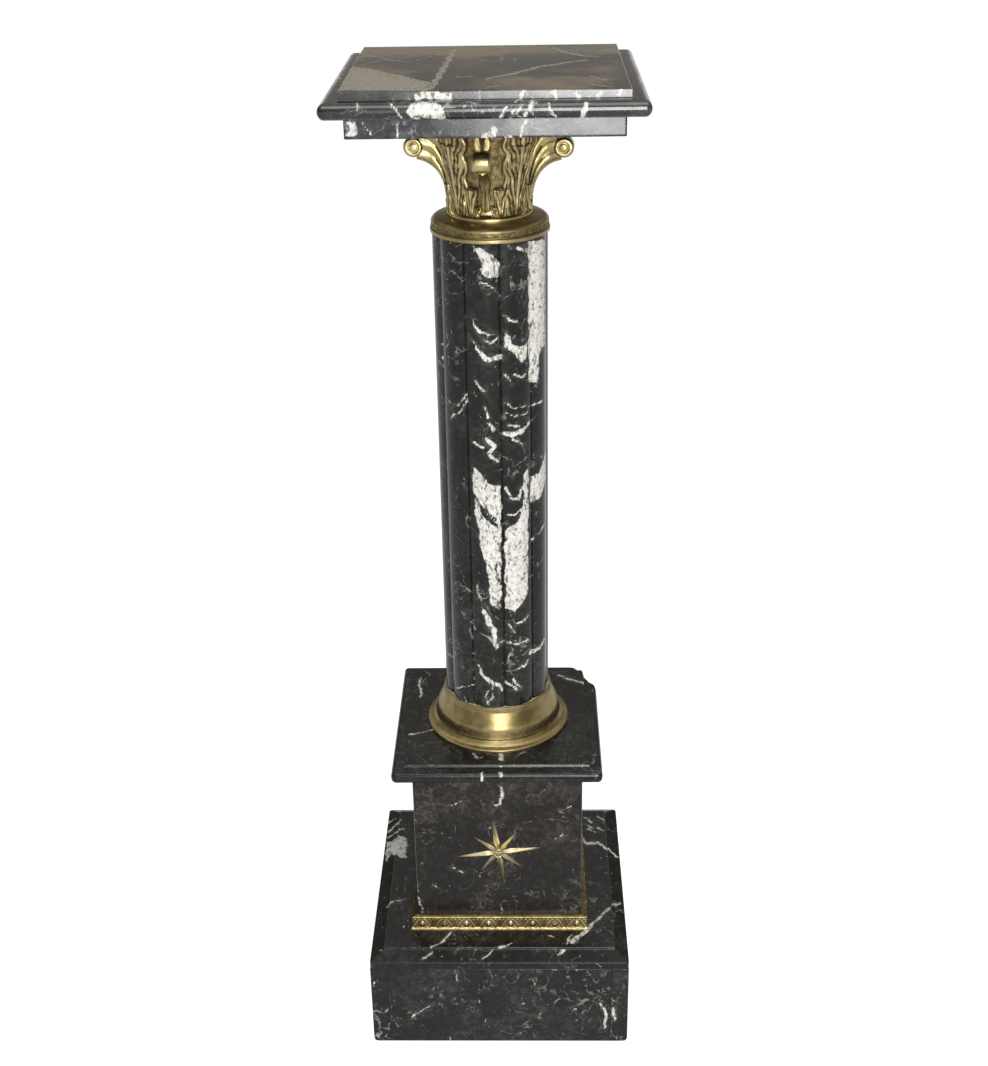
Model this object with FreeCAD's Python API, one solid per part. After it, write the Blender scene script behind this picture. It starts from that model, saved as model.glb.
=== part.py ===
"""Pedestal column stand: marble slabs and a reeded marble shaft with gilt bronze mounts, drawn together
by an iron tie rod on the axis.

Millimetres, +Z up, the front towards -Y. The origin is on the floor, under the middle of the stand.
Each piece is a solid of its own. The stack, from the floor: base block, die, plinth cap, shaft with a
base ring and a collar, capital, abacus slab and top slab.
"""
import FreeCAD, Part
import math
import os

from FreeCAD import Vector

# ---- base block: a box of four slabs and a slab on top -------------------------------------------
base_width = 300.0
base_panel_height = 109.0
base_panel_thickness = 20.0
base_foot_radius = 6.0          # rounded outer bottom edge of the two side panels
base_slab_edge = 9.0            # upright edge of the top slab
base_slab_slope_rise = 6.5      # sloped rim, from the upright edge to the step
base_slab_step = 3.0            # step from the rim to the raised field
base_slab_margin = 16.5         # from the slab's edge to its raised field
base_slab_corner_radius = 4.0

# ---- die: a square box of four slabs -------------------------------------------------------------
die_width = 192.0
die_height = 215.5
die_panel_thickness = 15.0
die_corner_bevel = 1.2

# ---- leaf moulding round the foot of the die -----------------------------------------------------
frieze_height = 18.0
frieze_foot_projection = 8.0
frieze_head_projection = 6.0
frieze_foot_fillet = 3.0        # height of the plain band along the foot
frieze_pin_radius = 0.8
frieze_pin_head_radius = 1.6
frieze_pin_head_height = 0.8
frieze_pin_depth = 7.0          # how far a pin goes into the marble
frieze_pin_height = 11.0        # above the foot of the moulding
frieze_pin_spread = 65.0        # from the middle of a side to each of its pins

# ---- eight-rayed star on the front of the die ----------------------------------------------------
star_height = 107.5             # star's centre above the foot of the die
star_long_ray = 49.0
star_short_ray = 38.0
star_waist = 6.5                # from the centre to the notch between two rays
star_shoulder_share = 0.42      # where a ray is widest, as a share of its length
star_shoulder_half_width = 0.065  # of a ray's length
star_shoulder_height = 1.2
star_ridge = 5.0                # height of the ridges at the centre
star_tip_height = 0.8
star_notch_height = 1.4
star_turn = 7.5                 # degrees, seen from the front, against the clock
star_ray_pairs = 4
star_seat_height = 2.6          # flat seat of the screw's head
star_screw_radius = 2.0
star_screw_head_radius = 5.0
star_screw_head_height = 3.4
star_screw_depth = 11.0         # how far the screw goes into the marble

# ---- plinth cap, with one back corner broken off -------------------------------------------------
cap_width = 235.4
cap_edge = 14.0                 # thickness of the rounded edge
cap_step = 3.0
cap_margin = 15.0               # from the edge to the raised field
cap_corner_radius = 5.0
cap_nose_lower_radius = 9.0
cap_nose_upper_radius = 4.5
chip_outline = (                # the broken corner: from the side edge and from the back edge
    (34.5, 0.0), (25.0, 5.0), (16.5, 17.0), (13.5, 29.0), (9.0, 38.5), (2.0, 45.0), (0.0, 52.0))

# ---- shaft: convex reeds with narrow grooves between them ----------------------------------------
shaft_height = 584.0
shaft_radius = 59.3             # over the crests of the reeds
shaft_reeds = 10
shaft_groove_turn = 9.5         # degrees from the front to the first groove, towards +X
shaft_valley_depth = 3.0        # from a crest to where two reeds would meet
shaft_groove_half_width = 1.6
shaft_groove_depth = 1.7        # of the groove's floor below that meeting line
shaft_filler_height = 4.0       # filler in the hollows at the foot, under the ring's lip

# ---- base ring -----------------------------------------------------------------------------------
fit_clearance = 0.3             # between the shaft and the rings round it
ring_height = 47.0
ring_flange_projection = 22.2   # beyond the shaft's crests
ring_flange_thickness = 4.0
ring_bead_projection = 12.8
ring_bead_height = 3.0
ring_bead_top = 13.4
ring_band_projection = 11.5     # of the band's foot, on the bead
ring_shoulder_projection = 10.3
ring_shoulder_height = 24.0     # where the band turns in towards the shaft
ring_shoulder_radius = 14.0
ring_neck_projection = 2.3
ring_neck_height = 40.5
ring_lip_projection = 2.0
ring_wall = 3.4

# ---- collar between the shaft and the capital ----------------------------------------------------
collar_height = 13.0            # above the top of the shaft
collar_skirt = 4.0              # lap over the top of the shaft
collar_wall = 1.5               # of that skirt
collar_nose_projection = 0.7
collar_notch_depth = 1.4
collar_top_radius = 46.5
collar_bore_radius = 30.0

# ---- capital: a hollow bell, four volutes over the slab's sides and four leaves between them -----
capital_height = 100.0
capital_turn = -4.0             # degrees about the axis, as the capital was set
capital_foot_radius = 43.5
capital_foot_height = 3.0
capital_neck_radius = 38.5
capital_neck_height = 20.0
capital_lip_radius = 54.0
capital_lip_height = 6.0
capital_wall = 5.0
volute_count = 4
volute_reach = 85.0             # from the axis to the outside of the rolled end
volute_roll_radius = 9.5
volute_roll_height = 64.5       # centre of the roll above the capital's foot
volute_roll_width = 18.0
volute_stem_width = 13.0
volute_eye_radius = 4.5
volute_eye_depth = 2.0
volute_root_height = 14.0
leaf_thickness = 4.0
leaf_half_width = 19.5
leaf_root_height = 5.0
leaf_tip_height = 80.0
leaf_tip_projection = 14.0      # of the curled tip beyond the bell
leaf_lobe_cut_radius = 2.6

# ---- slabs above the capital ---------------------------------------------------------------------
abacus_width = 257.5
abacus_thickness = 20.0
abacus_edge_radius = 0.8
abacus_pocket_radius = 19.0     # round pocket for the upper nut
abacus_pocket_depth = 11.5
top_width = 300.0
top_edge = 15.5                 # thickness of the rounded edge
top_step = 7.5
top_margin = 17.5               # from the edge to the raised table
top_nose_radius = 7.6
top_corner_radius = 5.0
top_socket_clearance = 2.0      # round and over the rod's end in the top slab's underside

# ---- small mouldings and the tie rod -------------------------------------------------------------
arris_radius = 1.0              # softened edges of the marble
rod_radius = 6.0
rod_end_above_nut = 5.0
rod_end_below_nut = 5.0
rod_hole_clearance = 2.0        # round the rod, through the marble
thread_clearance = 0.1
nut_across_flats = 19.0
nut_height = 8.0
washer_radius = 17.0
washer_thickness = 2.5
anchor_plate_width = 90.0
anchor_plate_thickness = 6.0

# ---- levels of the stack, worked out from the above ----------------------------------------------
base_slab_thickness = base_slab_edge + base_slab_slope_rise + base_slab_step
cap_thickness = cap_edge + cap_step
top_thickness = top_edge + top_step
z_base_slab = base_panel_height
z_die = z_base_slab + base_slab_thickness
z_cap = z_die + die_height
z_shaft = z_cap + cap_thickness
z_collar = z_shaft + shaft_height
z_capital = z_collar + collar_height
z_abacus = z_capital + capital_height
z_top = z_abacus + abacus_thickness
rod_hole_radius = rod_radius + rod_hole_clearance
thread_radius = rod_radius + thread_clearance
ring_bore = shaft_radius + fit_clearance

UP = Vector(0, 0, 1)
ORIGIN = Vector(0, 0, 0)
SIDES = ("front", "right", "back", "left")        # in steps of a quarter turn about +Z
CORNERS = ("front_right", "back_right", "back_left", "front_left")


# ---- helpers -------------------------------------------------------------------------------------
def in_xz(point):
    """The point (x, z) as a vector in the XZ plane."""
    return Vector(point[0], 0, point[1])


def line(start, end):
    """A straight edge."""
    return Part.LineSegment(start, end).toShape()


def corner_cut(before, corner, after, radius):
    """Start, middle and end of the arc that rounds a corner; the arc uses at most half of each run."""
    inward = before.sub(corner)
    outward = after.sub(corner)
    reach_limit = 0.49 * min(inward.Length, outward.Length)
    half_angle = inward.getAngle(outward) / 2
    inward.normalize()
    outward.normalize()
    reach = min(radius / math.tan(half_angle), reach_limit)
    radius = reach * math.tan(half_angle)
    middle_way = inward.add(outward).normalize()
    centre = corner.add(middle_way * (radius / math.sin(half_angle)))
    middle = centre.sub(middle_way * radius)
    return corner.add(inward * reach), middle, corner.add(outward * reach)


def run_of_edges(points, closed):
    """Edges along points (x, z) or (x, z, radius), where a radius rounds that corner."""
    places = [in_xz(point) for point in points]
    stops = []
    for index, point in enumerate(points):
        inside = closed or 0 < index < len(points) - 1
        if len(point) == 3 and inside:
            before = places[index - 1]
            after = places[(index + 1) % len(points)]
            stops.append(corner_cut(before, places[index], after, point[2]))
        else:
            stops.append((places[index],))
    edges = [Part.Arc(*stop).toShape() for stop in stops if len(stop) == 3]
    for index in range(len(stops) - (0 if closed else 1)):
        edges.append(line(stops[index][-1], stops[(index + 1) % len(stops)][0]))
    return edges


def face_of(edges):
    """Face inside edges that close into one ring."""
    return Part.Face(Part.Wire(Part.__sortEdges__(edges)))


def section(points):
    """Face of a closed outline in the XZ plane."""
    return face_of(run_of_edges(points, True))


def turned(points, degrees=360.0):
    """Solid of revolution about the axis, from a closed outline of (radius, height)."""
    return section(points).revolve(ORIGIN, UP, degrees)


def moulded_slab(half_outline):
    """Square slab with the same moulding on all four edges and mitred corners.

    half_outline runs from the axis at the bottom, round the edge, to the axis at the top. It is mirrored,
    carried along Y and along X, and the two runs are intersected."""
    right = run_of_edges(half_outline, False)
    left = [edge.mirror(ORIGIN, Vector(1, 0, 0)) for edge in right]
    face = face_of(right + left)
    length = 4 * max(point[0] for point in half_outline)
    along_y = face.extrude(Vector(0, length, 0)).translate(Vector(0, -length / 2, 0))
    along_x = turn(along_y, 90)
    return along_y.common(along_x)


def block(width_x, width_y, z_low, z_high, centre_x=0.0, centre_y=0.0):
    """Upright box about a centre line."""
    low = Vector(centre_x - width_x / 2, centre_y - width_y / 2, z_low)
    return Part.makeBox(width_x, width_y, z_high - z_low, low)


def rounded_column(width, radius, z_low, z_high):
    """Square column with rounded corners."""
    column = block(width, width, z_low, z_high)
    upright = [edge for edge in column.Edges if abs(edge.tangentAt(edge.FirstParameter).z) > 0.9]
    return column.makeFillet(radius, upright)


def cylinder(radius, z_low, z_high):
    """Upright cylinder on the axis."""
    return Part.makeCylinder(radius, z_high - z_low, Vector(0, 0, z_low))


def turn(shape, degrees):
    """Copy of a shape, turned about the axis."""
    copy = shape.copy()
    copy.rotate(ORIGIN, UP, degrees)
    return copy


def lift(shape, height):
    """Copy of a shape, moved up."""
    return shape.translated(Vector(0, 0, height))


def one_solid(shape):
    """The single solid in a boolean result, with its split faces joined."""
    clean = shape.removeSplitter()
    return clean.Solids[0] if len(clean.Solids) == 1 else clean


# ---- base block ----------------------------------------------------------------------------------
def base_side_panel():
    """Right-hand wall of the base block: its ends show at the front and the back."""
    outer = base_width / 2
    inner = outer - base_panel_thickness
    outline = [
        (inner, 0.0),
        (outer, 0.0, base_foot_radius),
        (outer, base_panel_height),
        (inner, base_panel_height),
    ]
    panel = section(outline).extrude(Vector(0, base_width, 0))
    return panel.translate(Vector(0, -base_width / 2, 0))


def base_front_panel():
    """Front wall of the base block, between the two side panels."""
    width = base_width - 2 * base_panel_thickness
    middle = -(base_width - base_panel_thickness) / 2
    return block(width, base_panel_thickness, 0.0, base_panel_height, 0.0, middle)


def base_top_slab():
    """Slab with an upright edge, a sloped rim and a raised field, holed for the rod."""
    edge = base_width / 2
    field = edge - base_slab_margin
    rim = base_slab_edge + base_slab_slope_rise
    slab = moulded_slab([
        (0.0, 0.0),
        (edge, 0.0),
        (edge, base_slab_edge, arris_radius),
        (field + base_slab_step / 3, rim),
        (field, base_slab_thickness, arris_radius),
        (0.0, base_slab_thickness),
    ])
    slab = slab.common(rounded_column(base_width, base_slab_corner_radius, 0.0, base_slab_thickness))
    hole = cylinder(rod_hole_radius, 0.0, base_slab_thickness)
    return lift(slab.cut(hole), z_base_slab)


# ---- die -----------------------------------------------------------------------------------------
def die_front_panel():
    """Full-width wall of the die, at the front, with bevelled outer corners."""
    front = -die_width / 2
    inner = front + die_panel_thickness
    half = die_width / 2
    plan = [
        Vector(-half, inner, z_die),
        Vector(-half, front + die_corner_bevel, z_die),
        Vector(-half + die_corner_bevel, front, z_die),
        Vector(half - die_corner_bevel, front, z_die),
        Vector(half, front + die_corner_bevel, z_die),
        Vector(half, inner, z_die),
    ]
    face = Part.Face(Part.makePolygon(plan + plan[:1]))
    return face.extrude(Vector(0, 0, die_height))


def die_side_panel():
    """Right-hand wall of the die, between the front and back walls."""
    depth = die_width - 2 * die_panel_thickness
    middle = (die_width - die_panel_thickness) / 2
    return block(die_panel_thickness, depth, z_die, z_die + die_height, middle, 0.0)


# ---- leaf moulding -------------------------------------------------------------------------------
def frieze_frame():
    """The moulding as one mitred square frame round the die."""
    wall = die_width / 2
    foot = wall + frieze_foot_projection
    head = wall + frieze_head_projection
    frame = moulded_slab([
        (0.0, 0.0),
        (foot, 0.0),
        (foot, frieze_foot_fillet, arris_radius),
        (head, frieze_foot_fillet + 2 * arris_radius),
        (head, frieze_height, arris_radius),
        (0.0, frieze_height),
    ])
    return lift(frame, z_die).cut(block(die_width, die_width, z_die, z_die + frieze_height))


def front_wedge(reach, z_low, z_high):
    """Prism over the quarter of the plan that faces the front, bounded by the two diagonals."""
    plan = [Vector(0, 0, z_low), Vector(-reach, -reach, z_low), Vector(reach, -reach, z_low)]
    return Part.Face(Part.makePolygon(plan + plan[:1])).extrude(Vector(0, 0, z_high - z_low))


def frieze_pin(offset):
    """Domed pin through the front strip into the marble, offset along X."""
    face_y = -(die_width / 2 + frieze_head_projection)
    dome_rise = frieze_pin_head_height
    head = frieze_pin_head_radius
    dome = turned([
        (0.0, 0.0),
        (head, 0.0),
        (head, dome_rise, 0.9 * dome_rise),
        (0.0, dome_rise),
    ])
    shank = cylinder(frieze_pin_radius, -(frieze_head_projection + frieze_pin_depth), 0.0)
    pin = dome.fuse(shank)
    pin.rotate(ORIGIN, Vector(1, 0, 0), 90)
    return pin.translated(Vector(offset, face_y, z_die + frieze_pin_height))


def frieze_front_pins():
    """The two pins of the front strip."""
    return [frieze_pin(side * frieze_pin_spread) for side in (-1, 1)]


# ---- star ----------------------------------------------------------------------------------------
def star_on_plane():
    """Star lying on the XY plane: lance-shaped ridged rays with notches between; the centre is flat."""
    rays = 2 * star_ray_pairs
    step = math.radians(360.0 / rays)
    rim = []
    for index in range(rays):
        reach = star_long_ray if index % 2 == 0 else star_short_ray
        way = index * step + math.radians(star_turn)
        along = star_shoulder_share * reach
        across = star_shoulder_half_width * reach
        rim.append(star_place(along, -across, way, star_shoulder_height))
        rim.append(star_place(reach, 0.0, way, star_tip_height))
        rim.append(star_place(along, across, way, star_shoulder_height))
        rim.append(star_place(star_waist, 0.0, way + step / 2, star_notch_height))
    centre = (0.0, 0.0, star_ridge)
    faces = []
    for index in range(len(rim)):
        here = rim[index]
        there = rim[(index + 1) % len(rim)]
        faces.append(flat_face([centre, here, there]))
        faces.append(flat_face([here, (here[0], here[1], 0.0), (there[0], there[1], 0.0)]))
        faces.append(flat_face([here, (there[0], there[1], 0.0), there]))
    faces.append(flat_face([(place[0], place[1], 0.0) for place in rim]))
    body = Part.Solid(Part.Shell(faces))
    if body.Volume < 0:
        body.reverse()
    seat = cylinder(star_screw_head_radius + fit_clearance, star_seat_height, 2 * star_ridge)
    hole = cylinder(star_screw_radius + thread_clearance, -1.0, 2 * star_ridge)
    return body.cut(seat).cut(hole)


def star_place(along, across, way, height):
    """Place on a ray that points at an angle: along it from the centre, across it, and above the plane."""
    x = along * math.cos(way) - across * math.sin(way)
    y = along * math.sin(way) + across * math.cos(way)
    return (x, y, height)


def flat_face(places):
    """Face through places that lie in one plane."""
    corners = [Vector(*place) for place in places]
    return Part.Face(Part.makePolygon(corners + corners[:1]))


def star_screw_on_plane():
    """Screw with a stepped, domed rosette head, seated on the star's flat centre."""
    head = star_screw_head_radius
    return turned([
        (0.0, -star_screw_depth),
        (star_screw_radius, -star_screw_depth),
        (star_screw_radius, star_seat_height),
        (head, star_seat_height),
        (head, star_seat_height + 0.3 * star_screw_head_height, arris_radius),
        (0.6 * head, star_seat_height + 0.5 * star_screw_head_height),
        (0.5 * head, star_seat_height + star_screw_head_height, arris_radius),
        (0.0, star_seat_height + star_screw_head_height),
    ])


def onto_die_front(shape):
    """Shape built on the XY plane, stood up against the die's front at the star's place."""
    copy = shape.copy()
    copy.rotate(ORIGIN, Vector(1, 0, 0), 90)
    return copy.translated(Vector(0, -die_width / 2, z_die + star_height))


# ---- plinth cap ----------------------------------------------------------------------------------
def plinth_cap():
    """Slab with a rounded edge and a raised field, its back right corner broken off."""
    edge = cap_width / 2
    field = edge - cap_margin
    slab = moulded_slab([
        (0.0, 0.0),
        (edge, 0.0, cap_nose_lower_radius),
        (edge, cap_edge, cap_nose_upper_radius),
        (field + cap_step / 3, cap_edge),
        (field, cap_thickness, arris_radius),
        (0.0, cap_thickness),
    ])
    slab = slab.common(rounded_column(cap_width, cap_corner_radius, 0.0, cap_thickness))
    beyond = edge + arris_radius
    broken = [Vector(edge - from_side, edge - from_back, 0) for from_side, from_back in chip_outline]
    corner = [Vector(broken[0].x, beyond, 0)] + broken
    corner += [Vector(beyond, broken[-1].y, 0), Vector(beyond, beyond, 0)]
    chip = Part.Face(Part.makePolygon(corner + corner[:1])).extrude(Vector(0, 0, cap_thickness))
    hole = cylinder(rod_hole_radius, 0.0, cap_thickness)
    return lift(slab.cut(chip).cut(hole), z_cap)


# ---- shaft ---------------------------------------------------------------------------------------
def shaft_plan():
    """Plan of the reeded shaft: each reed is an arc, each groove a small arc that cuts below them."""
    half_step = math.pi / shaft_reeds
    meeting = shaft_radius - shaft_valley_depth
    half_chord = meeting * math.sin(half_step)
    sagitta = shaft_radius - meeting * math.cos(half_step)
    reed_radius = (half_chord ** 2 + sagitta ** 2) / (2 * sagitta)
    reed_centre = shaft_radius - reed_radius
    meeting_angle = math.atan2(half_chord, meeting * math.cos(half_step) - reed_centre)
    end_angle = meeting_angle - shaft_groove_half_width / reed_radius
    end_x = reed_centre + reed_radius * math.cos(end_angle)
    end_y = reed_radius * math.sin(end_angle)
    floor = meeting - shaft_groove_depth
    first_groove = math.radians(shaft_groove_turn - 90.0)
    edges = []
    for index in range(shaft_reeds):
        way = first_groove + (2 * index + 1) * half_step
        start = turned_place(end_x, -end_y, way)
        crest = turned_place(shaft_radius, 0.0, way)
        end = turned_place(end_x, end_y, way)
        groove_floor = turned_place(floor, 0.0, way + half_step)
        next_start = turned_place(end_x, -end_y, way + 2 * half_step)
        edges.append(Part.Arc(start, crest, end).toShape())
        edges.append(Part.Arc(end, groove_floor, next_start).toShape())
    return face_of(edges)


def turned_place(x, y, angle):
    """The place (x, y) of the plan, turned about the axis by an angle in radians."""
    return Vector(x * math.cos(angle) - y * math.sin(angle), x * math.sin(angle) + y * math.cos(angle), 0)


def column_shaft():
    """Reeded shaft, bored for the rod."""
    shaft = shaft_plan().extrude(Vector(0, 0, shaft_height))
    return lift(shaft.cut(cylinder(rod_hole_radius, 0.0, shaft_height)), z_shaft)


def shaft_foot_filler():
    """Filler between the reeds and the lip of the base ring, level with the lip."""
    reeds = shaft_plan().extrude(Vector(0, 0, shaft_filler_height))
    disc = cylinder(ring_bore, 0.0, shaft_filler_height)
    return lift(disc.cut(reeds), z_shaft + ring_height - shaft_filler_height)


# ---- rings ---------------------------------------------------------------------------------------
def base_ring():
    """Cast ring: flange, cove, bead and a band that slopes in to hug the shaft; open below."""
    flange = shaft_radius + ring_flange_projection
    bead = shaft_radius + ring_bead_projection
    band = shaft_radius + ring_band_projection
    shoulder = shaft_radius + ring_shoulder_projection
    neck = shaft_radius + ring_neck_projection
    lip = shaft_radius + ring_lip_projection
    bead_foot = ring_bead_top - ring_bead_height
    ring = turned([
        (flange - 2 * ring_wall, 0.0),
        (flange, 0.0),
        (flange, ring_flange_thickness, 1.5 * arris_radius),
        (bead + ring_wall, ring_flange_thickness + arris_radius, 2 * ring_wall),
        (bead - arris_radius, bead_foot),
        (bead, bead_foot + arris_radius, arris_radius),
        (bead, ring_bead_top, arris_radius),
        (band, ring_bead_top),
        (shoulder, ring_shoulder_height, ring_shoulder_radius),
        (neck, ring_neck_height, 3 * arris_radius),
        (lip, ring_height, arris_radius),
        (ring_bore, ring_height),
        (ring_bore, (ring_shoulder_height + ring_neck_height) / 2),
        (shoulder - ring_wall, ring_shoulder_height - ring_wall),
        (band - ring_wall, bead_foot),
        (flange - 2 * ring_wall, ring_flange_thickness / 2),
    ])
    return lift(ring, z_shaft)


def collar_ring():
    """Collar on the shaft: a skirt with a bead laps over the reeds, a nose and a hollowed top above."""
    skirt = ring_bore
    bead = skirt + collar_wall
    nose = shaft_radius + collar_nose_projection
    notch = nose - collar_notch_depth
    hollow_foot = collar_height - 4.5 * arris_radius
    collar = turned([
        (collar_bore_radius, 0.0),
        (skirt, 0.0),
        (skirt, -collar_skirt),
        (bead, -collar_skirt, 0.7 * arris_radius),
        (bead, -0.2 * arris_radius, 1.4 * arris_radius),
        (notch, 0.8 * arris_radius, 0.3 * arris_radius),
        (nose, 2 * arris_radius, arris_radius),
        (nose, hollow_foot - arris_radius, 3.5 * arris_radius),
        (nose - 3.4 * arris_radius, hollow_foot + 2.6 * arris_radius, 7 * arris_radius),
        (collar_top_radius, collar_height, 0.5 * arris_radius),
        (collar_bore_radius, collar_height),
    ])
    return lift(collar, z_collar)


# ---- capital -------------------------------------------------------------------------------------
def bell_radius(height):
    """Radius of the bell's outside at a height above its neck, where it widens evenly to the lip."""
    lip_foot = capital_height - capital_lip_height
    share = (height - capital_neck_height) / (lip_foot - capital_neck_height)
    return capital_neck_radius + share * (capital_lip_radius - capital_lip_height / 2 - capital_neck_radius)


def bell_outline(inner):
    """Outline of the bell from an inner outline, listed from the top down, round its outside."""
    lip_foot = capital_height - capital_lip_height
    return inner + [
        (capital_foot_radius, 0.0),
        (capital_foot_radius, capital_foot_height, 0.5 * capital_foot_height),
        (capital_neck_radius, 2 * capital_foot_height, capital_foot_height),
        (capital_neck_radius, capital_neck_height, capital_height),
        (bell_radius(lip_foot), lip_foot, capital_lip_height),
        (capital_lip_radius, capital_height - 0.5 * capital_lip_height, 0.3 * capital_lip_height),
        (capital_lip_radius, capital_height),
    ]


def capital_bell():
    """Hollow cast bell, with a ring at the foot and a lip at the top."""
    lip_foot = capital_height - capital_lip_height
    return turned(bell_outline([
        (capital_lip_radius - 1.5 * capital_wall, capital_height),
        (bell_radius(lip_foot) - capital_wall, lip_foot),
        (capital_neck_radius - capital_wall, capital_neck_height, capital_height),
        (capital_neck_radius - capital_wall, 0.0),
    ]))


def bell_envelope():
    """The bell as a full body, to trim what is fixed to its outside."""
    return turned(bell_outline([(0.0, capital_height), (0.0, 0.0)]))


def volute(envelope):
    """Stem that rises from the bell, bends out under the slab and ends in a roll, over the +X side."""
    spread = volute_reach - capital_neck_radius
    top = capital_height - fit_clearance
    inside = capital_neck_radius - capital_wall / 2
    lower_line = [(0.12, 0.37, 20.0), (0.20, 0.56, 30.0), (0.34, 0.72, 25.0), (0.56, 0.82, 12.0),
                  (0.70, 0.86, 3.0)]
    outline = [(inside, volute_root_height)]
    for share_out, share_up, radius in lower_line:
        outline.append((capital_neck_radius + share_out * spread, share_up * volute_roll_height, radius))
    roll_x = volute_reach - volute_roll_radius
    over_roll = top - volute_roll_height
    outline += [
        (roll_x, volute_roll_height),
        (volute_reach, volute_roll_height),
        (volute_reach - 0.05 * volute_roll_radius, volute_roll_height + 0.45 * over_roll, 15.0),
        (roll_x, volute_roll_height + 0.87 * over_roll, 10.0),
        (roll_x - 1.3 * volute_roll_radius, top, 4.0),
        (inside, top),
    ]
    stem = section(outline).extrude(Vector(0, volute_stem_width, 0))
    stem = stem.translate(Vector(0, -volute_stem_width / 2, 0))
    roll = side_cylinder(volute_roll_radius, volute_roll_width, 0.0)
    body = stem.fuse(roll).cut(envelope)
    for side in (-1, 1):
        eye_middle = side * (volute_roll_width - volute_eye_depth) / 2
        body = body.cut(side_cylinder(volute_eye_radius, volute_eye_depth, eye_middle))
    return one_solid(body)


def side_cylinder(radius, width, middle_y):
    """Cylinder along Y at the place of a volute's roll."""
    place = Vector(volute_reach - volute_roll_radius, middle_y - width / 2, volute_roll_height)
    return Part.makeCylinder(radius, width, place, Vector(0, 1, 0))


def acanthus(envelope):
    """Leaf that lies on the bell and curls out at its tip, over +X, with lobes cut into both edges."""
    inside = capital_neck_radius - capital_wall / 2
    tip = leaf_tip_height
    bend = 0.78 * tip
    under_tip = tip - 3 * leaf_thickness
    band = turned([
        (inside, leaf_root_height),
        (capital_neck_radius + leaf_thickness, leaf_root_height, 0.4 * leaf_thickness),
        (capital_neck_radius + leaf_thickness, capital_neck_height, capital_height),
        (bell_radius(bend) + 1.2 * leaf_thickness, bend, 5 * leaf_thickness),
        (bell_radius(under_tip) + leaf_tip_projection, under_tip, 0.5 * leaf_thickness),
        (bell_radius(under_tip) + leaf_tip_projection + 1, under_tip + 1.5 * leaf_thickness,
         1.5 * leaf_thickness),
        (bell_radius(tip) + 0.8 * leaf_thickness, tip, leaf_thickness),
        (inside, tip),
    ], 90.0)
    band = turn(band, -45)
    width = leaf_half_width
    shape = [(-0.80, 0.0), (-0.92, 0.3), (-1.0, 0.55), (-0.78, 0.8), (-0.40, 0.95), (0.0, 1.0),
             (0.40, 0.95), (0.78, 0.8), (1.0, 0.55), (0.92, 0.3), (0.80, 0.0)]
    rise = tip - leaf_root_height
    plan = [Vector(0, side * width, leaf_root_height + up * rise) for side, up in shape]
    reach = volute_reach
    blade = Part.Face(Part.makePolygon(plan + plan[:1])).extrude(Vector(reach, 0, 0))
    leaf = band.common(blade).cut(envelope)
    for share_up, share_out in ((0.22, 0.92), (0.44, 1.0), (0.68, 0.94)):
        for side in (-1, 1):
            notch = Vector(0, side * share_out * width, leaf_root_height + share_up * rise)
            cutter = Part.makeCylinder(leaf_lobe_cut_radius, reach, notch, Vector(1, 0, 0))
            leaf = leaf.cut(cutter)
    return one_solid(leaf)


# ---- slabs above the capital ---------------------------------------------------------------------
def abacus_slab():
    """Plain square slab with a pocket for the upper nut and a hole for the rod."""
    edge = abacus_width / 2
    slab = moulded_slab([
        (0.0, 0.0),
        (edge, 0.0, abacus_edge_radius),
        (edge, abacus_thickness, abacus_edge_radius),
        (0.0, abacus_thickness),
    ])
    pocket = cylinder(abacus_pocket_radius, abacus_thickness - abacus_pocket_depth, abacus_thickness)
    hole = cylinder(rod_hole_radius, 0.0, abacus_thickness)
    return lift(slab.cut(pocket).cut(hole), z_abacus)


def top_slab():
    """Top slab with a rounded edge and a raised table; a blind socket below takes the rod's end."""
    edge = top_width / 2
    table = edge - top_margin
    slab = moulded_slab([
        (0.0, 0.0),
        (edge, 0.0, top_nose_radius),
        (edge, top_edge, top_nose_radius),
        (table, top_edge, arris_radius),
        (table, top_thickness, arris_radius),
        (0.0, top_thickness),
    ])
    slab = slab.common(rounded_column(top_width, top_corner_radius, 0.0, top_thickness))
    socket_depth = z_rod_top + top_socket_clearance - z_top
    if socket_depth > 0:
        slab = slab.cut(cylinder(rod_hole_radius, 0.0, socket_depth))
    return lift(slab, z_top)


# ---- tie rod -------------------------------------------------------------------------------------
z_anchor_plate = z_base_slab - anchor_plate_thickness
z_washer_bottom = z_anchor_plate - washer_thickness
z_nut_bottom = z_washer_bottom - nut_height
z_washer_top = z_top - abacus_pocket_depth
z_nut_top = z_washer_top + washer_thickness
z_rod_bottom = z_nut_bottom - rod_end_below_nut
z_rod_top = z_nut_top + nut_height + rod_end_above_nut


def nut(z_low):
    """Hexagon nut on the rod."""
    corner = nut_across_flats / math.sqrt(3)
    plan = [Vector(corner * math.cos(math.radians(60 * k)), corner * math.sin(math.radians(60 * k)), z_low)
            for k in range(6)]
    body = Part.Face(Part.makePolygon(plan + plan[:1])).extrude(Vector(0, 0, nut_height))
    return body.cut(cylinder(thread_radius, z_low, z_low + nut_height))


def washer(z_low):
    """Round washer on the rod."""
    z_high = z_low + washer_thickness
    return cylinder(washer_radius, z_low, z_high).cut(cylinder(thread_radius, z_low, z_high))


def anchor_plate():
    """Square iron plate under the base's top slab, which spreads the lower nut's pull."""
    plate = block(anchor_plate_width, anchor_plate_width, z_anchor_plate, z_base_slab)
    return plate.cut(cylinder(thread_radius, z_anchor_plate, z_base_slab))


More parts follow.
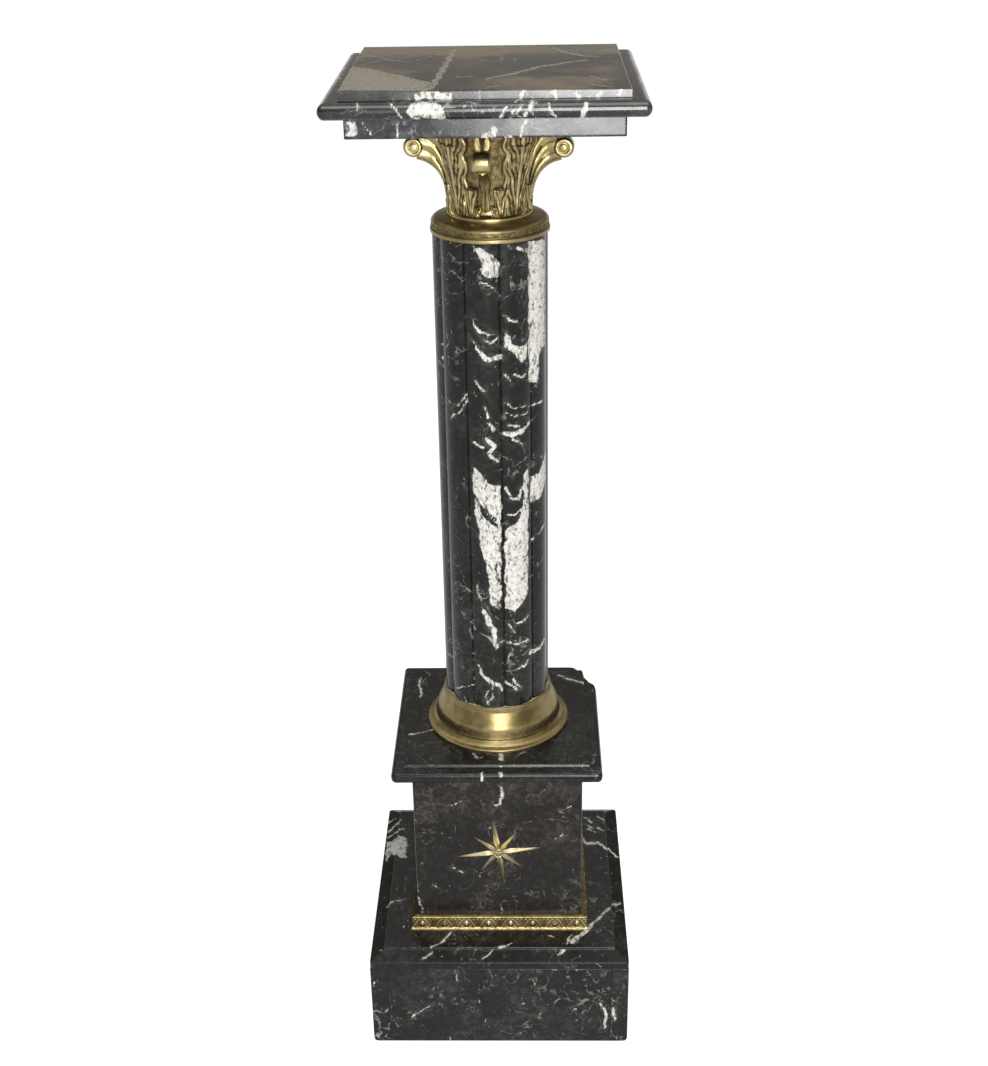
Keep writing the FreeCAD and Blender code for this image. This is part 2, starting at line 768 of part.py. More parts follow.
# ---- all pieces ----------------------------------------------------------------------------------
def all_pieces():
    """Every piece by its node's name."""
    pieces = {
        "base_right_panel": base_side_panel(),
        "base_left_panel": turn(base_side_panel(), 180),
        "base_front_panel": base_front_panel(),
        "base_back_panel": turn(base_front_panel(), 180),
        "base_top_slab": base_top_slab(),
        "plinth_cap": plinth_cap(),
        "column_shaft": column_shaft(),
        "shaft_foot_filler": shaft_foot_filler(),
        "base_ring": base_ring(),
        "collar_ring": collar_ring(),
        "abacus_slab": abacus_slab(),
        "top_slab": top_slab(),
        "tie_rod": cylinder(rod_radius, z_rod_bottom, z_rod_top),
        "rod_nut_top": nut(z_nut_top),
        "rod_nut_bottom": nut(z_nut_bottom),
        "rod_washer_top": washer(z_washer_top),
        "rod_washer_bottom": washer(z_washer_bottom),
        "anchor_plate": anchor_plate(),
    }

    star_screw = onto_die_front(star_screw_on_plane())
    pieces["star_mount"] = onto_die_front(star_on_plane())
    pieces["star_screw"] = star_screw
    all_pins = []
    frame = frieze_frame()
    wedge = front_wedge(die_width, z_die, z_die + frieze_height)
    for index, side in enumerate(SIDES):
        pins = [turn(pin, 90 * index) for pin in frieze_front_pins()]
        all_pins += pins
        strip = frame.common(turn(wedge, 90 * index))
        panel = turn(die_front_panel(), 90 * index) if index % 2 == 0 else turn(die_side_panel(),
                                                                              90 * (index - 1))
        for pin in pins:
            strip = strip.cut(pin)
            panel = panel.cut(pin)
        if side == "front":
            panel = panel.cut(star_screw)
        pieces["frieze_" + side] = one_solid(strip)
        pieces["die_" + side + "_panel"] = one_solid(panel)
    pieces["frieze_pins"] = Part.makeCompound(all_pins)

    envelope = bell_envelope()
    pieces["capital_bell"] = on_capital(capital_bell(), 0.0)
    one_volute = volute(envelope)
    one_leaf = acanthus(envelope)
    for index, side in enumerate(SIDES):
        pieces["capital_volute_" + side] = on_capital(one_volute, 90 * index - 90)
    for index, corner in enumerate(CORNERS):
        pieces["capital_acanthus_" + corner] = on_capital(one_leaf, 90 * index - 45)
    return pieces


def on_capital(shape, degrees):
    """Shape of the capital, built over +X at the floor, turned and raised to its place."""
    return lift(turn(shape, degrees + capital_turn), z_capital)


os.makedirs("parts", exist_ok=True)
for node, shape in all_pieces().items():
    shape.exportStep("parts/" + node + ".step")
    print(node, len(shape.Solids), "solid(s)", "valid" if shape.isValid() else "INVALID",
          round(shape.Volume / 1000, 1), "cm3")
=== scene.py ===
"""Pedestal column stand: black veined marble with gilt bronze mounts.

Every piece is a surface worked out on a grid in millimetres, in the CAD model's frame: +Z up, the front
towards -Y, the origin on the floor under the middle of the stand.
"""
import bpy
import numpy as np
from mathutils import Matrix, Vector


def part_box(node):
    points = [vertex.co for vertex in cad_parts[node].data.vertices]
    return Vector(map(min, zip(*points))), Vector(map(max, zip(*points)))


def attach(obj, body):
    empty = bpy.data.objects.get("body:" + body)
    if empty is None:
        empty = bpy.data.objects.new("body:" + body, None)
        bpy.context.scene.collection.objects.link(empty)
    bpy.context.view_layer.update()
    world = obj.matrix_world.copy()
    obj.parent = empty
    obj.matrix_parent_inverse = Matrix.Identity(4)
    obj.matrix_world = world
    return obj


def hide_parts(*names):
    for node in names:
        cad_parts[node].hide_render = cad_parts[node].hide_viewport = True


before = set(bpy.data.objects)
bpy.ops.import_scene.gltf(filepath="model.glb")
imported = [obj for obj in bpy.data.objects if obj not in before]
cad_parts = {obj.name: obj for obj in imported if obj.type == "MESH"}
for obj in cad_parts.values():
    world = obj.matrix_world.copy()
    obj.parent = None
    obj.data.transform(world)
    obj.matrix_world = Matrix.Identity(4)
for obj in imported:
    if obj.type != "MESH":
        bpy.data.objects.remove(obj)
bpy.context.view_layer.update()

MM = 0.001
WHITE = (1.0, 1.0, 1.0, 1.0)
SIDES = ("front", "right", "back", "left")
CORNERS = ("front_right", "back_right", "back_left", "front_left")


def box_mm(node_name):
    """Lowest and highest corner of a CAD node, in millimetres."""
    low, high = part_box(node_name)
    return np.array(low) / MM, np.array(high) / MM


def edge_and_height(node_name):
    """Half the width of a CAD node that reaches as far to the left as to the right, and its height."""
    low, high = box_mm(node_name)
    return high[0], high[2] - low[2]


# ---- grids and meshes ----
def grid_faces(rows, columns, closed):
    """Four-cornered faces of a grid of places; where it is closed, the last column joins the first."""
    row = np.arange(rows - 1)[:, None]
    column = np.arange(columns if closed else columns - 1)[None, :]
    beside = (column + 1) % columns
    corners = (row * columns + column, row * columns + beside,
               (row + 1) * columns + beside, (row + 1) * columns + column)
    return np.stack(corners, axis=-1).reshape(-1, 4)


def as_surface(grid, closed=True):
    """A grid (rows, columns, 3) as a pair: its places in a list, and its faces."""
    return grid.reshape(-1, 3), grid_faces(grid.shape[0], grid.shape[1], closed)


def together(surfaces):
    """Several surfaces as one pair of places and faces."""
    places = np.concatenate([surface[0] for surface in surfaces])
    starts = np.cumsum([0] + [len(surface[0]) for surface in surfaces[:-1]])
    faces = np.concatenate([surface[1] + start for surface, start in zip(surfaces, starts)])
    return places, faces


def welded(places, faces):
    """Places that coincide become one; a face left with three corners is a triangle, with fewer it goes."""
    _, first, same = np.unique(np.round(places, 4), axis=0, return_index=True, return_inverse=True)
    faces = same.reshape(-1)[faces]
    distinct = faces != np.roll(faces, -1, axis=1)
    count = distinct.sum(axis=1)
    triangles = faces[count == 3][distinct[count == 3]].reshape(-1, 3)
    return first, faces[count == 4], triangles


def in_scene(name, data):
    """New object in the scene."""
    made = bpy.data.objects.new(name, data)
    bpy.context.scene.collection.objects.link(made)
    return made


# What a piece's name adds to the name of its CAD node, by its slot.
ENDINGS = {"black_marble": "_marble", "gilt_bronze": "_gilt", "plaster": "_ring"}


def make_piece(node_name, surface, material, slot, marks=None, crease=38.0):
    """Mesh object in a CAD node's place, from a surface in millimetres and the values at its places."""
    name = node_name + ENDINGS[slot]
    places, faces = surface
    kept, quads, triangles = welded(places, faces)
    mesh = bpy.data.meshes.new(name)
    mesh.from_pydata((places[kept] * MM).tolist(), [], quads.tolist() + triangles.tolist())
    for mark_name, values in (marks or {}).items():
        layer = mesh.attributes.new(mark_name, "FLOAT", "POINT")
        layer.data.foreach_set("value", np.ascontiguousarray(values.reshape(-1)[kept], dtype=np.float32))
    mesh.shade_smooth()
    mesh.set_sharp_from_angle(angle=np.radians(crease))
    mesh.materials.append(material)
    piece = in_scene(name, mesh)
    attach(piece, "root")
    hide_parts(node_name)


def turned_about(places, degrees):
    """Places turned about the upright axis."""
    cosine, sine = np.cos(np.radians(degrees)), np.sin(np.radians(degrees))
    x, y, z = np.moveaxis(places, -1, 0)
    return np.stack([x * cosine - y * sine, x * sine + y * cosine, z], axis=-1)


def round_axis(radius, angle, height):
    """Places at radii, angles and heights about the upright axis."""
    radius, angle, height = np.broadcast_arrays(radius, angle, height)
    return np.stack([radius * np.cos(angle), radius * np.sin(angle), height], axis=-1)


def rounded(points, steps=6):
    """Outline through (reach, height) points; a third number rounds that corner with an arc of that radius.

    The arc's places are turned evenly from its start to its end, seen from its centre."""
    stretches = [np.array([points[0][:2]], float)]
    for before, corner, after in zip(points, points[1:], points[2:]):
        here = np.array(corner[:2], float)
        if len(corner) == 2:
            stretches.append(here[None])
            continue
        inward = np.array(before[:2]) - here
        outward = np.array(after[:2]) - here
        limit = 0.49 * min(np.hypot(*inward), np.hypot(*outward))
        inward /= np.hypot(*inward)
        outward /= np.hypot(*outward)
        half = np.arccos(np.clip(inward @ outward, -1, 1)) / 2
        reach = min(corner[2] / np.tan(half), limit)
        radius = reach * np.tan(half)
        middle_way = (inward + outward) / np.hypot(*(inward + outward))
        centre = here + middle_way * radius / np.sin(half)
        first = here + inward * reach - centre
        last = here + outward * reach - centre
        sweep = np.pi - 2 * half
        share = np.linspace(0, 1, steps + 1)[:, None]
        arc = (np.sin((1 - share) * sweep) * first + np.sin(share * sweep) * last) / np.sin(sweep)
        stretches.append(centre + arc)
    stretches.append(np.array([points[-1][:2]], float))
    return np.concatenate(stretches)


def divided(outline, step):
    """The outline with its long runs divided evenly, so that no part is longer than the step."""
    parts = []
    for start, end in zip(outline[:-1], outline[1:]):
        count = max(1, int(np.ceil(np.hypot(*(end - start)) / step)))
        parts.append(start + (end - start) * (np.arange(count) / count)[:, None])
    parts.append(outline[-1:])
    return np.concatenate(parts)


def turned(outline, columns):
    """Surface of revolution: every (radius, height) of the outline is carried round the axis."""
    angle = np.linspace(0, 2 * np.pi, columns, endpoint=False)[None, :]
    return round_axis(outline[:, 0, None], angle, outline[:, 1, None])


def square_rings(outline, side_steps, corner_radius):
    """Moulding carried round a square: every (reach, height) of the outline becomes a square ring.

    A ring's half width is its reach. Its corners are rounded by what is left of the corner radius after
    the inset from the widest ring. The ring starts at the front left corner and runs against the clock."""
    reach = outline[:, 0, None]
    radius = np.clip(corner_radius - (reach.max() - reach), 0, reach)
    straight = reach - radius
    along = np.linspace(-1, 1, side_steps + 1)[None, :]
    bend = np.linspace(0, np.pi / 2, 6)[None, 1:-1]
    x = np.concatenate([along * straight, straight + radius * np.sin(bend)], axis=1)
    y = np.concatenate([np.broadcast_to(-reach, (len(outline), side_steps + 1)),
                        -straight - radius * np.cos(bend)], axis=1)
    quarters = [(x, y), (-y, x), (-x, -y), (y, -x)]
    ring_x = np.concatenate([quarter[0] for quarter in quarters], axis=1)
    ring_y = np.concatenate([quarter[1] for quarter in quarters], axis=1)
    ring_z = np.broadcast_to(outline[:, 1, None], ring_x.shape)
    return np.stack([ring_x, ring_y, ring_z], axis=-1)


def stops(low, high, radius, step):
    """Places along one edge of a block: close together at its rounded ends, evenly spaced between."""
    bend = radius * (1 - np.cos(np.linspace(0, np.pi / 2, 5)))[:-1]
    count = max(1, int(round((high - low - 2 * radius) / step)))
    even = np.linspace(low + radius, high - radius, count + 1)
    return np.concatenate([low + bend, even, (high - bend)[::-1]])


def rounded_block(low, high, radius, step):
    """Block with rounded edges: each place of a box is pulled to the edge radius from the box inside it."""
    marks = [stops(low[axis], high[axis], radius, step) for axis in range(3)]
    surfaces = []
    for axis in range(3):
        first, second = (axis + 1) % 3, (axis + 2) % 3
        for level, across, along in ((high[axis], first, second), (low[axis], second, first)):
            grid = np.empty((len(marks[along]), len(marks[across]), 3))
            grid[..., axis] = level
            grid[..., across] = marks[across][None, :]
            grid[..., along] = marks[along][:, None]
            surfaces.append(as_surface(grid, closed=False))
    places, faces = together(surfaces)
    inner = np.clip(places, np.array(low) + radius, np.array(high) - radius)
    away = places - inner
    return inner + radius * away / np.linalg.norm(away, axis=1, keepdims=True), faces


def smooth_share(values, low, high):
    """0 below low, 1 above high, and an even S curve between."""
    share = np.clip((values - low) / (high - low), 0, 1)
    return share * share * (3 - 2 * share)


# ---- shader nodes ----
def fed(made, inputs):
    """Node with its inputs set; an input that is a socket is linked."""
    for key, value in inputs.items():
        if isinstance(value, bpy.types.NodeSocket):
            made.id_data.links.new(value, made.inputs[key])
        else:
            made.inputs[key].default_value = value
    return made


def node(tree, kind, inputs=None, **settings):
    """New shader node with its settings and inputs."""
    made = tree.nodes.new(kind)
    for key, value in settings.items():
        setattr(made, key, value)
    return fed(made, inputs or {})


def maths(operation, first, second=0.0):
    """Result of one sum; the node joins the tree of whichever of the two is a socket."""
    tree = next(value.id_data for value in (first, second) if isinstance(value, bpy.types.NodeSocket))
    return node(tree, "ShaderNodeMath", {0: first, 1: second}, operation=operation).outputs[0]


def times(first, second):
    """Product of the two."""
    return maths("MULTIPLY", first, second)


def plus(first, second):
    """Sum of the two."""
    return maths("ADD", first, second)


def less(first, second):
    """First less the second."""
    return maths("SUBTRACT", first, second)


def larger(first, second):
    """Larger of the two."""
    return maths("MAXIMUM", first, second)


def between(value, low, high):
    """0 below low and 1 above high, smooth between; low may be the larger one."""
    inputs = {0: value, 1: low, 2: high}
    return node(value.id_data, "ShaderNodeMapRange", inputs, interpolation_type="SMOOTHSTEP").outputs[0]


def blended(share, first, second):
    """Colour between two colours."""
    inputs = {0: share, 6: first, 7: second}
    return node(share.id_data, "ShaderNodeMix", inputs, data_type="RGBA").outputs[2]


def noise(place, scale, detail=3.0, roughness=0.5, output=0):
    """Soft noise, its scale in waves to the metre; the Color output holds three values."""
    inputs = {"Vector": place, "Scale": scale, "Detail": detail, "Roughness": roughness}
    return node(place.id_data, "ShaderNodeTexNoise", inputs).outputs[output]


def mark(place, name):
    """Value that the piece carries at each of its places."""
    return node(place.id_data, "ShaderNodeAttribute", attribute_name=name).outputs["Fac"]


def relief(height, strength, distance):
    """Normal of a fine relief; the distance is in metres."""
    inputs = {"Strength": strength, "Distance": distance, "Height": height}
    return node(height.id_data, "ShaderNodeBump", inputs).outputs[0]


def new_material(name):
    """New material, its Principled shader and the places on the object."""
    material = bpy.data.materials.new(name)
    material.use_nodes = True
    tree = material.node_tree
    shader = next(each for each in tree.nodes if each.type == "BSDF_PRINCIPLED")
    return material, shader, node(tree, "ShaderNodeTexCoord").outputs["Object"]


# ---- marble ----
STONE_BLACK = (0.0058, 0.0058, 0.0054, 1.0)
STONE_GREY = (0.050, 0.051, 0.046, 1.0)
STONE_BLUE = (0.075, 0.073, 0.088, 1.0)
STONE_BROWN = (0.072, 0.060, 0.046, 1.0)
# Table colours: partly the top's own brown, partly painted reflection of a brownish room
TABLE_BROWN_AND_REFLECTION = (0.25, 0.185, 0.11, 1.0)
TABLE_BEIGE_AND_REFLECTION = (0.25, 0.215, 0.155, 1.0)
VEIN_WHITE = (0.70, 0.69, 0.65, 1.0)
VEIN_BEIGE = (0.46, 0.43, 0.37, 1.0)
VEIN_SHADE = (0.15, 0.145, 0.13, 1.0)


def noise_lines(place, scale, roughness, middle, reach, core):
    """Thin winding lines where noise crosses its middle: full within the core, faded out at the reach."""
    away = maths("ABSOLUTE", less(noise(place, scale, 3.0, roughness), middle))
    return between(away, reach, core)


def marble_threads(place, bent, threads, curls):
    """Broken threads and, in other places, finer curls."""
    broken = between(noise(place, 120.0), 0.42, 0.60)
    where = between(noise(place, 10.0, 2.0), 0.5, 0.64)
    coarse = noise_lines(bent, 8.0, roughness=0.5, middle=0.5, reach=0.0060, core=0.001)
    finer = noise_lines(bent, 21.0, roughness=0.55, middle=0.47, reach=0.013, core=0.002)
    thread = larger(coarse, times(finer, 0.5))
    thread = times(times(thread, times(where, broken)), threads)
    around = between(noise(place, 17.0, 2.0), 0.47, 0.60)
    curl = noise_lines(bent, 46.0, roughness=0.55, middle=0.5, reach=0.020, core=0.004)
    return larger(thread, times(times(curl, around), times(broken, curls)))


def marble_flecks(bent, slanted, flecks):
    """Small slanted strokes and specks, thicker in some places."""
    stroke = between(noise(slanted, 230.0, 3.0, 0.6), 0.655, 0.72)
    crumb = between(noise(bent, 420.0, 3.0, 0.6), 0.69, 0.75)
    patchy = between(noise(bent, 24.0, 3.0, 0.6), 0.42, 0.66)
    return times(times(larger(stroke, crumb), patchy), flecks)


def frayed_figure(place, slender):
    """The piece's vein mark in millimetres, its edges drawn in by slender and frayed by noise."""
    coarse = times(less(noise(place, 190.0, 3.0, 0.6), 0.5), 3.6)
    fine = times(less(noise(place, 620.0, 2.0), 0.5), 2.2)
    return plus(plus(less(mark(place, "vein"), slender), coarse), fine)


def vein_colour(place):
    """White of the figure, grained beige, with grey stains."""
    grain = between(noise(place, 260.0, 5.0, 0.7), 0.42, 0.66)
    stain = between(noise(place, 75.0, 4.0, 0.6), 0.56, 0.74)
    return blended(times(stain, 0.6), blended(grain, VEIN_WHITE, VEIN_BEIGE), VEIN_SHADE)


def black_marble(name, shift, cloud=STONE_GREY, clouds=0.8, threads=0.6, flecks=0.5, curls=0.2, slender=0.1,
                 roughness=0.12, mirror=0.24, table=None):
    """Polished black marble, cut from its own part of the block by the shift.

    A cloudy mottled ground under threads, flecks and the piece's white figure, which is specked dark
    inside and has a faint grey halo. Above the height of the table, where one is given, a brown film
    covers it: partly the top's own brown mottling, partly a painted reflection of a brownish room on the
    polished table, which also turns the white figure there beige."""
    material, shader, on_object = new_material(name)
    tree = on_object.id_data
    place = node(tree, "ShaderNodeMapping", {"Vector": on_object, "Location": shift}).outputs[0]
    drift = {0: noise(place, 16.0, output="Color"), 1: (0.5, 0.5, 0.5)}
    drift = node(tree, "ShaderNodeVectorMath", drift, operation="SUBTRACT").outputs[0]
    drift = node(tree, "ShaderNodeVectorMath", {0: drift, "Scale": 0.05}, operation="SCALE").outputs[0]
    bent = node(tree, "ShaderNodeVectorMath", {0: place, 1: drift}, operation="ADD").outputs[0]
    slanted = node(tree, "ShaderNodeMapping", {"Vector": bent, "Rotation": (0.5, 0.7, 0.9),
                                               "Scale": (1.0, 0.75, 0.42)}).outputs[0]

    ground = between(noise(bent, 13.0, 6.0, 0.62), 0.40, 0.72)
    mottle = between(noise(bent, 130.0, 5.0, 0.75), 0.42, 0.70)
    ground = times(plus(ground, 0.22), plus(0.20, mottle))
    colour = blended(times(ground, clouds), STONE_BLACK, cloud)
    light = vein_colour(place)
    if table:
        # Painted reflection of a brownish room on the polished table face only, over its own brown mottling;
        # it turns the white figure there beige
        height = node(tree, "ShaderNodeSeparateXYZ", {0: on_object}).outputs[2]
        table_film_and_reflection = between(height, table - 0.0008, table - 0.0003)
        light = blended(times(table_film_and_reflection, 0.85), light, TABLE_BEIGE_AND_REFLECTION)
        cloudy = between(noise(bent, 7.5, 4.0, 0.6), 0.42, 0.62)
        cloudy = times(cloudy, plus(0.62, times(mottle, 0.35)))
        colour = blended(times(table_film_and_reflection, cloudy), colour, TABLE_BROWN_AND_REFLECTION)

    frayed = frayed_figure(place, slender)
    halo = times(times(between(frayed, -6.0, 0.0), mottle), 0.30)
    depth = times(between(frayed, 2.0, 12.0), 0.05)
    speck = between(less(noise(slanted, 300.0, 4.0, 0.7), depth), 0.515, 0.60)
    vein = times(between(frayed, -0.50, 0.60), less(1.0, times(speck, 0.85)))
    colour = blended(halo, colour, VEIN_SHADE)
    fine = larger(marble_threads(place, bent, threads, curls), marble_flecks(bent, slanted, flecks))
    colour = blended(vein, blended(fine, colour, light), light)

    wear = between(noise(place, 45.0, 5.0, 0.6), 0.35, 0.75)
    gloss = plus(plus(roughness, times(wear, 0.10)), times(vein, 0.10))
    pits = plus(noise(place, 900.0, 2.0), times(vein, -0.8))
    fed(shader, {"Base Color": colour, "Roughness": gloss, "Specular IOR Level": mirror,
                 "Normal": relief(pits, 0.05, 0.0006)})
    return material


# ---- gilt bronze, iron and filler ----
GILT = (0.335, 0.265, 0.12, 1.0)
GILT_WORN = (0.55, 0.46, 0.24, 1.0)
# Dark brown of dirt in hollows, and of painted shade and painted dark reflections
GILT_DIRT_AND_SHADE = (0.055, 0.039, 0.016, 1.0)
TURNED = (0.24, 0.185, 0.08, 1.0)
TURNED_WORN = (0.37, 0.30, 0.148, 1.0)
STAR_GILT = (0.42, 0.35, 0.19, 1.0)
STAR_WORN = (0.66, 0.59, 0.40, 1.0)
IRON = (0.045, 0.042, 0.040, 1.0)
RUST = (0.13, 0.050, 0.020, 1.0)
FILLER = (0.52, 0.46, 0.30, 1.0)
FILLER_GRIT = (0.26, 0.22, 0.13, 1.0)


def gilt_bronze(name, smooth, dirt_and_shade=1.0, colour=GILT, worn=GILT_WORN):
    """Old gilt bronze: worn brighter in clouds, darkened brown where the piece's mark is high: partly dirt in
    its hollows, partly painted shade and painted dark reflections.
    """
    material, shader, place = new_material(name)
    cloud = between(noise(place, 48.0, 6.0, 0.66), 0.38, 0.68)
    spots = times(less(noise(place, 260.0, 4.0, 0.65), 0.5), 0.7)
    # Darkened where the piece's mark is high: dirt in hollows, plus painted shade and painted dark
    # reflections
    dirt_and_shade_share = times(between(plus(mark(place, "shade_and_dirt_mark"), spots), 0.42, 0.95), dirt_and_shade)
    stain = between(noise(place, 85.0, 5.0, 0.7), 0.56, 0.74)
    dirt_and_shade_share = larger(dirt_and_shade_share, times(stain, 0.35))
    tone = blended(dirt_and_shade_share, blended(cloud, colour, worn), GILT_DIRT_AND_SHADE)
    dull = plus(plus(smooth, times(cloud, 0.08)), times(dirt_and_shade_share, 0.35))
    fed(shader, {"Base Color": tone, "Metallic": 1.0, "Roughness": dull,
                 "Normal": relief(noise(place, 420.0, 3.0, 0.6), 0.12, 0.0007)})
    return material


def old_iron(name):
    """Dark wrought iron with rust in patches."""
    material, shader, place = new_material(name)
    rust = between(noise(place, 70.0, 6.0, 0.7), 0.45, 0.6)
    fed(shader, {"Base Color": blended(rust, IRON, RUST), "Metallic": less(0.85, times(rust, 0.7)),
                 "Roughness": plus(0.5, times(rust, 0.35)),
                 "Normal": relief(noise(place, 600.0, 4.0, 0.7), 0.4, 0.0008)})
    return material


def pale_filler(name):
    """Old yellowed filler with fine grit."""
    material, shader, place = new_material(name)
    grit = between(noise(place, 500.0, 4.0, 0.7), 0.4, 0.7)
    fed(shader, {"Base Color": blended(grit, FILLER, FILLER_GRIT), "Roughness": 0.7,
                 "Normal": relief(grit, 0.4, 0.0006)})
    return material


# ---- white figure in the marble: fields in millimetres, above 0 inside the white ----
OUTSIDE = -12.0


def nearest_on(across, along, a0, b0, a1, b1):
    """Share of a straight stretch from (a0, b0) to (a1, b1) nearest to each place, and the distance there."""
    run = (a1 - a0) ** 2 + (b1 - b0) ** 2
    share = np.clip(((across - a0) * (a1 - a0) + (along - b0) * (b1 - b0)) / run, 0, 1)
    return share, np.hypot(across - a0 - share * (a1 - a0), along - b0 - share * (b1 - b0))


def vein_field(across, along, line):
    """Half width of a vein less the distance to its line; line holds (across, along, half width)."""
    field = np.full(across.shape, OUTSIDE)
    for (a0, b0, w0), (a1, b1, w1) in zip(line, line[1:]):
        share, distance = nearest_on(across, along, a0, b0, a1, b1)
        field = np.maximum(field, w0 + share * (w1 - w0) - distance)
    return field


def patch_field(across, along, corners):
    """Distance to a patch's outline, above 0 inside; corners holds (across, along)."""
    nearest = np.full(across.shape, 1e3)
    inside = np.zeros(across.shape, bool)
    for (a0, b0), (a1, b1) in zip(corners, corners[1:] + corners[:1]):
        nearest = np.minimum(nearest, nearest_on(across, along, a0, b0, a1, b1)[1])
        rises = (b0 > along) != (b1 > along)
        crossing = a0 + (along - b0) * (a1 - a0) / np.where(b1 == b0, 1e-9, b1 - b0)
        inside ^= rises & (across < crossing)
    return np.where(inside, nearest, -nearest)


def figure(across, along, veins=(), patches=(), cracks=(), where=True):
    """The strongest of several veins and patches, less the dark cracks, kept to where they show.

    The places are first shifted by small sine waves, so that no line runs quite straight."""
    field = np.full(across.shape, OUTSIDE)
    across, along = (across + 0.9 * np.sin(along / 5.3 + across / 17) + 0.5 * np.sin(along / 2.1 + 1),
                     along + 0.9 * np.sin(across / 4.7 - along / 23) + 0.5 * np.sin(across / 1.9 + 2))
    for line in veins:
        field = np.maximum(field, vein_field(across, along, line))
    for corners in patches:
        field = np.maximum(field, patch_field(across, along, corners))
    for line in cracks:
        field = np.minimum(field, -vein_field(across, along, line))
    return np.where(where, np.clip(field, OUTSIDE, -OUTSIDE), OUTSIDE)


# Places of the figure seen on the real stand, in whole millimetres: (across, along, half width) on each
# vein, (across, along) round each patch. On the shaft, across is measured round it from the front.
SHAFT_WHITE = [
    [(-16, 938), (-8, 937), (-2, 931), (5, 925), (10, 920), (10, 906), (4, 904), (-5, 907), (-8, 915),
     (-9, 925), (-14, 933)],
    [(-22, 702), (-5, 684), (9, 679), (7, 532), (5, 532), (-4, 541), (-7, 557), (-6, 567), (-8, 583),
     (-13, 599), (-15, 617), (-20, 646), (-22, 667)],
    [(15, 852), (18, 845), (20, 843), (22, 836), (30, 833), (42, 832), (40, 817), (32, 814), (23, 827),
     (15, 831)],
    [(34, 689), (32, 676), (36, 665), (31, 649), (27, 636), (14, 630), (12, 627), (12, 532), (23, 528),
     (35, 541), (40, 552), (42, 695)], [(44, 939), (72, 933), (71, 823), (58, 817), (58, 786), (43, 791)],
    [(45, 682), (59, 685), (74, 706), (76, 674), (62, 656), (50, 653), (45, 653)]]
SHAFT_VEINS = [((-10, 901, 0.8), (0, 897, 1.4), (10, 887, 0.8)),
    ((-19, 863, 0.8), (-16, 855, 1.6), (-10, 848, 1.4), (4, 847, 0.8)),
    ((-6, 841, 0.8), (2, 839, 1.4), (9, 844, 0.8)),
    ((-18, 838, 1.1), (-13, 828, 1.9), (-5, 821, 2.6), (9, 822, 3)), ((-17, 796, 1.4), (-8, 787, 1.4)),
    ((-6, 768, 1.2), (-5, 756, 1.2)), ((-3, 750, 1.4), (3, 742, 1.4)),
    ((-6, 732, 2.5), (2, 726, 2.5), (-4, 717, 1.8), (6, 709, 1.8)), ((-20, 729, 1.4), (-9, 722, 1.4)),
    ((-22, 565, 0.9), (-18, 550, 1.4), (-14, 542, 1.1)),
    ((-13, 530, 2.5), (-6, 516, 3.1), (0, 505, 3), (-2, 495, 2.5), (1, 484, 1.9)),
    ((-21, 461, 1.1), (-15, 449, 1.9), (-5, 439, 2.6), (4, 437, 2.2), (6, 428, 1.4)),
    ((-11, 430, 0.9), (-12, 419, 0.9), (-8, 409, 0.9)), ((-5, 433, 0.8), (-4, 421, 0.8), (-9, 413, 0.8)),
    ((30, 933, 2), (41, 928, 1.8)), ((21, 938, 1.4), (23, 937, 1.4)),
    ((15, 866, 0.8), (20, 860, 1.6), (29, 858, 1.1)), ((25, 804, 0.8), (32, 798, 1.6), (39, 799, 1.1)),
    ((15, 803, 1.2), (21, 796, 1.2)), ((14, 774, 0.8), (26, 765, 0.8), (40, 766, 0.8)),
    ((15, 762, 0.8), (25, 756, 0.8), (42, 758, 0.8)),
    ((14, 740, 1.9), (22, 736, 3), (31, 738, 2.6), (42, 746, 2)), ((17, 748, 1.1), (28, 744, 1.1)),
    ((22, 731, 1.2), (35, 724, 1.2)), ((14, 677, 1.2), (20, 665, 2), (30, 664, 2)),
    ((30, 663, 1.6), (31, 674, 1.2)), ((14, 646, 0.9), (23, 646, 0.9), (30, 649, 0.9)),
    ((20, 516, 0.8), (28, 513, 1.6), (40, 516, 1.4)), ((14, 513, 1.1), (23, 503, 1.1)),
    ((13, 491, 1.1), (26, 486, 1.4), (40, 487, 1.1)), ((24, 454, 1.1), (32, 455, 1.6), (40, 462, 1.2)),
    ((12, 440, 1.4), (23, 428, 1.4)), ((19, 442, 1.1), (30, 428, 1.1)),
    ((71, 620, 0.8), (55, 611, 0.8), (44, 608, 0.8)), ((43, 470, 2.9), (56, 468, 2.2), (70, 476, 1.2)),
    ((52, 784, 1.2), (56, 782, 1.2)), ((43, 764, 1.1), (52, 763, 1.1), (64, 763, 1.1)),
    ((-51, 768, 0.8), (-39, 767, 0.8), (-26, 780, 0.8)),
    ((-49, 751, 0.8), (-35, 761, 0.8), (-27, 775, 0.8)), ((-67, 826, 1.2), (-64, 826, 1.2)),
    ((-68, 812, 1.2), (-67, 811, 1.2)), ((-64, 672, 1.2), (-61, 672, 1.2)),
    ((-56, 419, 0.8), (-44, 424, 1.1), (-29, 432, 0.8))]
SHAFT_CRACKS = [((-22, 667, 1.1), (-14, 658, 1.1), (-2, 647, 1.1), (3, 639, 1.1)),
    ((1, 587, 1.1), (4, 572, 1.1), (6, 563, 1.1)), ((-14, 656, 1.9), (-6, 644, 2.5), (4, 633, 1.9))]
TOP_BEIGE = [
    [(-133, 8), (-113, -8), (-88, -40), (-65, -67), (-49, -90), (-48, -117), (-52, -132), (-131, -123),
     (-132, -81)]]
